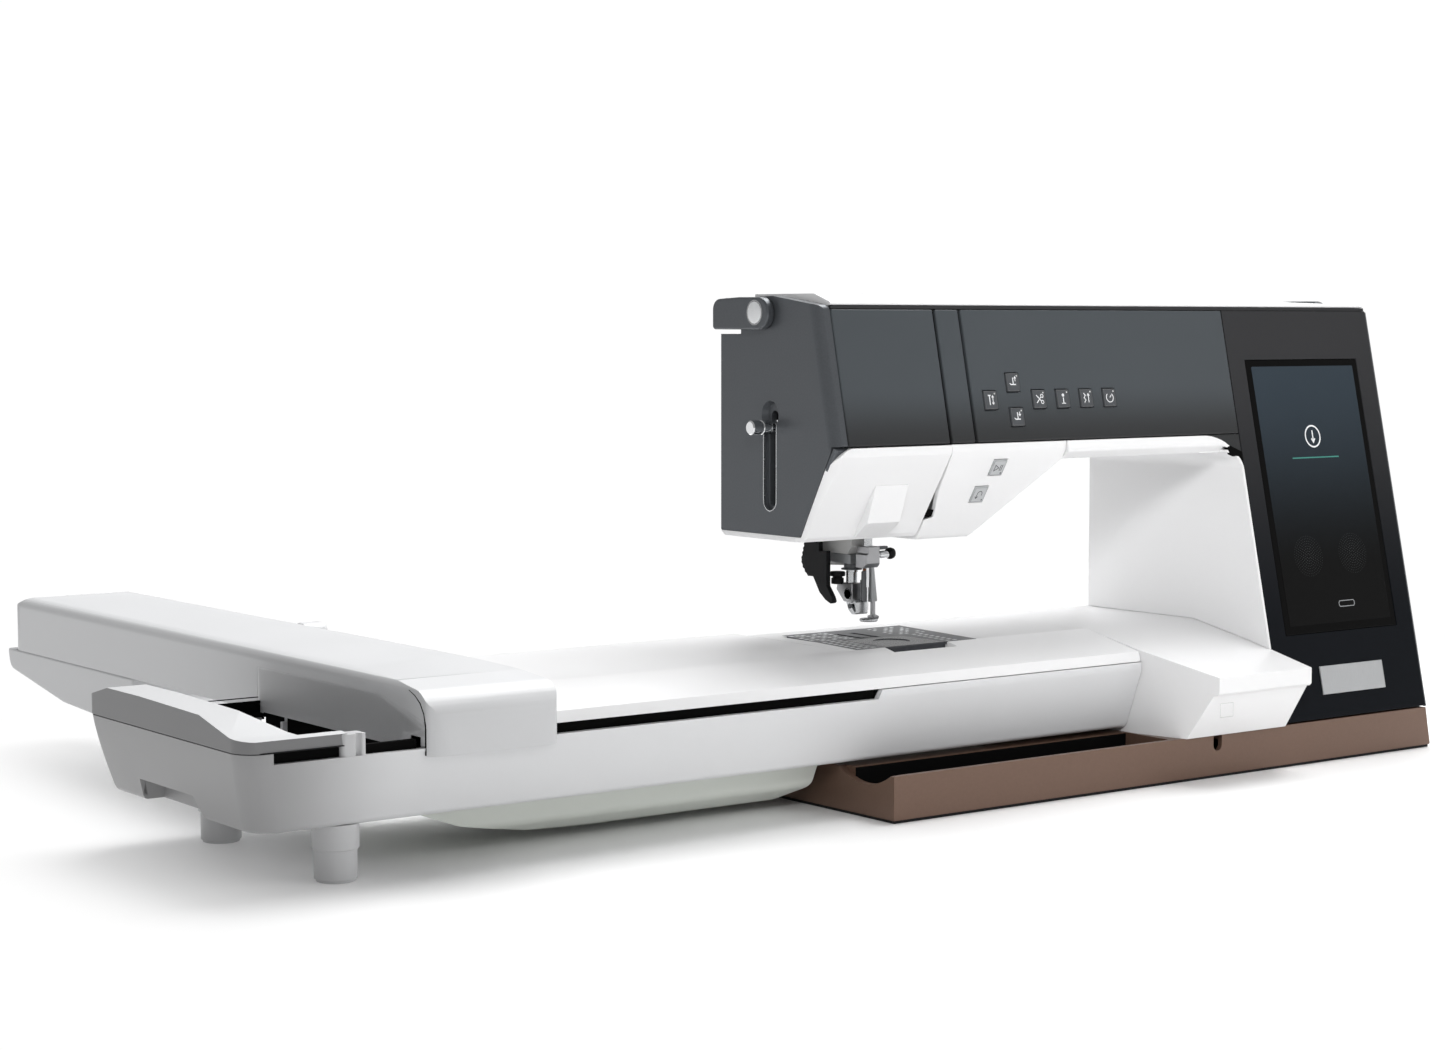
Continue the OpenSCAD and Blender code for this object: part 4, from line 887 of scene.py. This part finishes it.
clamp = prism("needle_clamp_block", "z", [(NEEDLE_X - 6, NEEDLE_Y - 6, 1.5),
    (NEEDLE_X + 6, NEEDLE_Y - 6, 1.5), (NEEDLE_X + 6, NEEDLE_Y + 6, 1.5),
    (NEEDLE_X - 6, NEEDLE_Y + 6, 1.5)], 141, 155, SATIN)
cut(clamp, prism("clamp_chamfer", "x", [(NEEDLE_Y - 8, 139), (NEEDLE_Y - 1, 139), (NEEDLE_Y - 8, 146)],
        -175, -150, SATIN),
    prism("clamp_side_notch", "y", [(NEEDLE_X - 8, 149), (NEEDLE_X - 4.2, 150.5), (NEEDLE_X - 4.2, 156),
        (NEEDLE_X - 8, 156)], 20, 50, SATIN))
soften(clamp, 0.5, 3)
screw = lathe("needle_clamp_screw", "x", NEEDLE_Y, 149, [(0, NEEDLE_X + 5), (2.6, NEEDLE_X + 5),
    (2.6, NEEDLE_X + 8), (1.9, NEEDLE_X + 8.2), (1.9, NEEDLE_X + 9.4), (2.5, NEEDLE_X + 9.6),
    (2.5, NEEDLE_X + 17), (0, NEEDLE_X + 17)], CHROME, 32)
tip = lathe("needle_clamp_screw_tip", "x", NEEDLE_Y, 149.4, [(0, NEEDLE_X + 16.8), (3.2, NEEDLE_X + 16.9),
    (3.8, NEEDLE_X + 18), (3.9, NEEDLE_X + 19.6), (3.3, NEEDLE_X + 21.4), (1.8, NEEDLE_X + 22.5),
    (0, NEEDLE_X + 22.8)], BLACK, 32)
stands_for(join(clamp, smooth(screw, 30), smooth(tip, 40)), "needle_clamp")

ankle = prism("foot_ankle_block", "x", [(61.9, 129.4, 1), (46.6, 130, 1), (46.6, 117, 1), (55.4, 117.4, 1),
    (63.1, 125, 1.6)], NEEDLE_X - 5, NEEDLE_X + 4, SATIN)
soften(ankle, 0.6, 3)
joint = prism("foot_ankle_joint", "x", [(54.6, 118.6, 1), (51.4, 112, 1), (48, 109.4, 1),
    (43.6, 109.6, 0.8), (43.4, 117.6), (46, 119.4)], NEEDLE_X - 4, NEEDLE_X + 6, STEEL)
cut(joint, prism("joint_slot", "x", [(50.4, 115.6), (47, 113.4), (44.8, 110.8), (43.9, 112.4),
    (45.6, 116.6)], NEEDLE_X - 5, NEEDLE_X - 2, STEEL))
soften(joint, 0.4, 2)
# painted shadow: a black plug fills the bore
bore_shadow_plug = lathe("ankle_bore", "x", 50.7, 122.6, [(0, NEEDLE_X - 5.25), (3.3, NEEDLE_X - 5.25),
    (3.3, NEEDLE_X + 3.6), (0, NEEDLE_X + 3.6)], SHADOW, 32)
bore = lathe("ankle_bore_rim", "x", 50.7, 122.6, [(3.4, NEEDLE_X - 5.5), (4.0, NEEDLE_X - 5.5),
    (4.0, NEEDLE_X - 4), (3.4, NEEDLE_X - 4), (3.4, NEEDLE_X - 5.5)], STEEL, 32)
bolt = lathe("ankle_bolt", "x", 50, 114.6, [(0, NEEDLE_X - 4.6), (1.5, NEEDLE_X - 4.6),
    (1.7, NEEDLE_X - 4.2), (1.7, NEEDLE_X - 3), (0, NEEDLE_X - 3)], GREY, 24)
screw_head = lathe("ankle_screw_head", "z", NEEDLE_X - 6, 60.4, [(0, 128.8), (4, 128.8), (4.2, 129.4),
    (4.2, 132.6), (3.2, 133), (3.2, 133.6), (4.9, 134), (5.2, 134.6), (5.2, 136.4), (4.6, 137), (0, 137)],
    BLACK, 28)
bar = lathe("presser_bar_end", "z", NEEDLE_X, PRESSER_Y + 1, [(0, 128), (3.7, 128), (3.7, 140), (0, 140)],
    STEEL, 32)
collar = lathe("presser_collar", "z", NEEDLE_X, PRESSER_Y + 1, [(0, 138.6), (7, 138.6), (7, 139.4),
    (5.2, 139.8), (5.2, 147.2), (4.6, 147.8), (0, 147.8)], GREY, 32)
stands_for(join(ankle, joint, smooth(bore_shadow_plug, 30), smooth(bore, 30), smooth(bolt, 30), smooth(screw_head, 40),
    smooth(collar, 30), smooth(bar, 30)), "foot_ankle")
loop = lathe("foot_ring", "z", NEEDLE_X + 1, NEEDLE_Y, [(3.3, 105.5), (5.6, 105.5), (6.1, 106),
    (6.1, 106.8), (5.6, 107.3), (3.6, 107.3), (3.3, 106.9), (3.3, 105.5)], STEEL, 40)
stem = soften(prism("foot_stem", "x", [(36, 105.8), (41, 105.8), (42, 108.6, 1), (38, 109.4, 1),
    (34, 108.6, 1)], NEEDLE_X + 4, NEEDLE_X + 8.6, SATIN), 0.5, 2)
wire = lathe("foot_wire", "z", NEEDLE_X + 5.8, NEEDLE_Y + 1.5, [(0, 106.4), (2.1, 106.4), (1.7, 110),
    (1.6, 119), (0, 119)], SATIN, 20)
slab = soften(prism("foot_lifting_slab", "y", [(NEEDLE_X + 3.5, 141.8, 0.8), (NEEDLE_X + 5.9, 141.8, 0.8),
    (NEEDLE_X + 8.8, 118.2, 1), (NEEDLE_X + 3.6, 117.6, 1)], 36.8, 46.2, CAST), 0.4, 2)
rib = soften(prism("foot_slab_rib", "y", [(NEEDLE_X + 1.6, 132), (NEEDLE_X + 3.6, 132),
    (NEEDLE_X + 3.6, 118.6), (NEEDLE_X + 1.6, 118.6)], 44.4, 46.4, STEEL), 0.3, 2)
clip = soften(prism("foot_copper_clip", "x", [(40.2, 134.4), (45, 134.4), (45, 139.6), (40.2, 139.6)],
    NEEDLE_X + 3.0, NEEDLE_X + 3.6, COPPER), 0.15, 2)
back = soften(prism("foot_back_plate", "y", [(NEEDLE_X - 1.6, 138.4, 1), (NEEDLE_X + 6, 138.4, 1),
    (NEEDLE_X + 6.4, 118.4, 1), (NEEDLE_X - 2, 118.4, 1)], 40, 41.2, PLATE), 0.3, 2)
stands_for(join(smooth(loop, 30), stem, smooth(wire, 30), slab, rib, clip, back), "embroidery_foot")
GUIDES = {
    "guide_cover": ([(43, 163), (43, 154.6, 1), (47, 149.4, 1), (72, 149.4, 1), (76, 153, 1), (76, 163)],
                    -170.6, -155, LIGHT, 0.4),
    "guide_cheek": ([(59.6, 152), (59.6, 141, 1), (77, 139.8, 1.2), (77, 152)], -163, -160.6, LIGHT, 0.3),
    "thread_wire_guide": ([(36, 152.2), (39.4, 152.2), (39.4, 154.4), (36, 154.4)], -156, -145, GREY, 0.4),
}
for name, (outline, left, right_end, mat, edge) in GUIDES.items():
    with_node(soften(prism(name, "x", outline, left, right_end, mat), edge, 2), "frame_casting")

# ---------------------------------------------------------------- painted shadow: black liners in the trough under the unit
TROUGH_LEFT, TROUGH_RIGHT = -244.6, -12.4
with_node(prism("trough_shadow_floor", "z", [(TROUGH_LEFT, -91), (TROUGH_RIGHT, -91), (TROUGH_RIGHT, -52.4),
                                             (TROUGH_LEFT, -52.4)], 6.02, 6.5, SHADOW), "base_tray")
with_node(prism("trough_rear_shadow_liner", "y", [(TROUGH_LEFT, 6.4), (TROUGH_RIGHT, 6.4), (TROUGH_RIGHT, 28.4),
                                           (TROUGH_LEFT, 28.4)], -52.9, -52.1, SHADOW), "base_tray")

# ---------------------------------------------------------------- stage
GLOW = 1.02
FADE_START, FADE_END = 0.54, 0.82
floor_mat = material("studio_floor", (0.90, 0.90, 0.90), 0.55, vary=0.004, scale=2.0)
bm = bmesh.new()
bmesh.ops.create_grid(bm, x_segments=4, y_segments=4, size=12)
floor = add("studio_floor", bm, floor_mat)
# the floor turns into plain glow away from the object
nt = floor_mat.node_tree
far = nt.nodes.new("ShaderNodeEmission")
far.inputs[1].default_value = GLOW
blend = nt.nodes.new("ShaderNodeMixShader")
where = nt.nodes.new("ShaderNodeTexCoord")
dist = nt.nodes.new("ShaderNodeVectorMath")
dist.operation = "LENGTH"
fade = nt.nodes.new("ShaderNodeMapRange")
fade.interpolation_type = "SMOOTHSTEP"
fade.inputs["From Min"].default_value = FADE_START
fade.inputs["From Max"].default_value = FADE_END
nt.links.new(where.outputs["Object"], dist.inputs[0])
nt.links.new(dist.outputs["Value"], fade.inputs[0])
nt.links.new(fade.outputs[0], blend.inputs[0])
shaded = [n for n in nt.nodes if n.type == "BSDF_PRINCIPLED"][0]
final = [n for n in nt.nodes if n.type == "OUTPUT_MATERIAL"][0]
nt.links.new(shaded.outputs[0], blend.inputs[1])
nt.links.new(far.outputs[0], blend.inputs[2])
nt.links.new(blend.outputs[0], final.inputs[0])
backdrop_mat = bpy.data.materials.new("studio_backdrop")
backdrop_mat.use_nodes = True
glow = backdrop_mat.node_tree.nodes.new("ShaderNodeEmission")
glow.inputs[1].default_value = GLOW
backdrop_mat.node_tree.links.new(glow.outputs[0], backdrop_mat.node_tree.nodes["Material Output"].inputs[0])
bm = bmesh.new()
bmesh.ops.create_uvsphere(bm, u_segments=48, v_segments=24, radius=11)
backdrop = add("studio_backdrop", bm, backdrop_mat)
for ray in ("diffuse", "glossy", "transmission", "volume_scatter", "shadow"):
    setattr(backdrop, "visible_" + ray, False)

SKY_LEFT, SKY_RIGHT = 0.31, 0.49
world = bpy.data.worlds.new("studio")
bpy.context.scene.world = world
world.use_nodes = True
world.node_tree.nodes["Background"].inputs[0].default_value = (1, 1, 1, 1)
sky = world.node_tree
sky_at = sky.nodes.new("ShaderNodeTexCoord")
sky_axes = sky.nodes.new("ShaderNodeSeparateXYZ")
sky_level = sky.nodes.new("ShaderNodeMapRange")
for socket, value in zip(("From Min", "From Max", "To Min", "To Max"), (-1, 1, SKY_LEFT, SKY_RIGHT)):
    sky_level.inputs[socket].default_value = value
sky.links.new(sky_at.outputs["Generated"], sky_axes.inputs[0])
sky.links.new(sky_axes.outputs[0], sky_level.inputs[0])
sky.links.new(sky_level.outputs[0], sky.nodes["Background"].inputs[1])
bpy.context.scene.view_settings.view_transform = "Standard"


def area(name, at, look, size, power):
    """soft light at a place, turned towards another"""
    d = bpy.data.lights.new(name, "AREA")
    d.shape = "RECTANGLE"
    d.size, d.size_y = size
    d.energy = power
    o = bpy.data.objects.new(name, d)
    o.location = at
    o.rotation_euler = (Vector(look) - Vector(at)).to_track_quat("-Z", "Y").to_euler()
    bpy.context.scene.collection.objects.link(o)
    return o


KEY_POWER, FRONT_POWER, COLUMN_POWER = 60, 14, 0.6
area("key_top", (0.5, 0.5, 1.9), (-0.1, 0.1, 0.1), (1.8, 1.4), KEY_POWER)
fill = area("front_right", (1.5, -2.3, 1.3), (-0.1, 0, 0.12), (2.0, 1.6), FRONT_POWER)
fill.visible_glossy = False
side_fill = area("column_fill", (-1.1, -1.3, 0.9), (0.09, 0, 0.13), (0.35, 0.35), COLUMN_POWER)
side_fill.data.spread = math.radians(34)
side_fill.visible_glossy = False

CAMERA_DIP, CAMERA_TURN = 4.29, 36.62
cam = bpy.data.cameras.new("photo_camera")
cam.lens = 66.51
cam.sensor_width = 36
camera = bpy.data.objects.new("photo_camera", cam)
camera.location = (-1.2804, -1.3085, 0.300)
camera.rotation_euler = (math.radians(90 - CAMERA_DIP), 0, math.radians(-CAMERA_TURN))
bpy.context.scene.collection.objects.link(camera)
bpy.context.scene.camera = camera
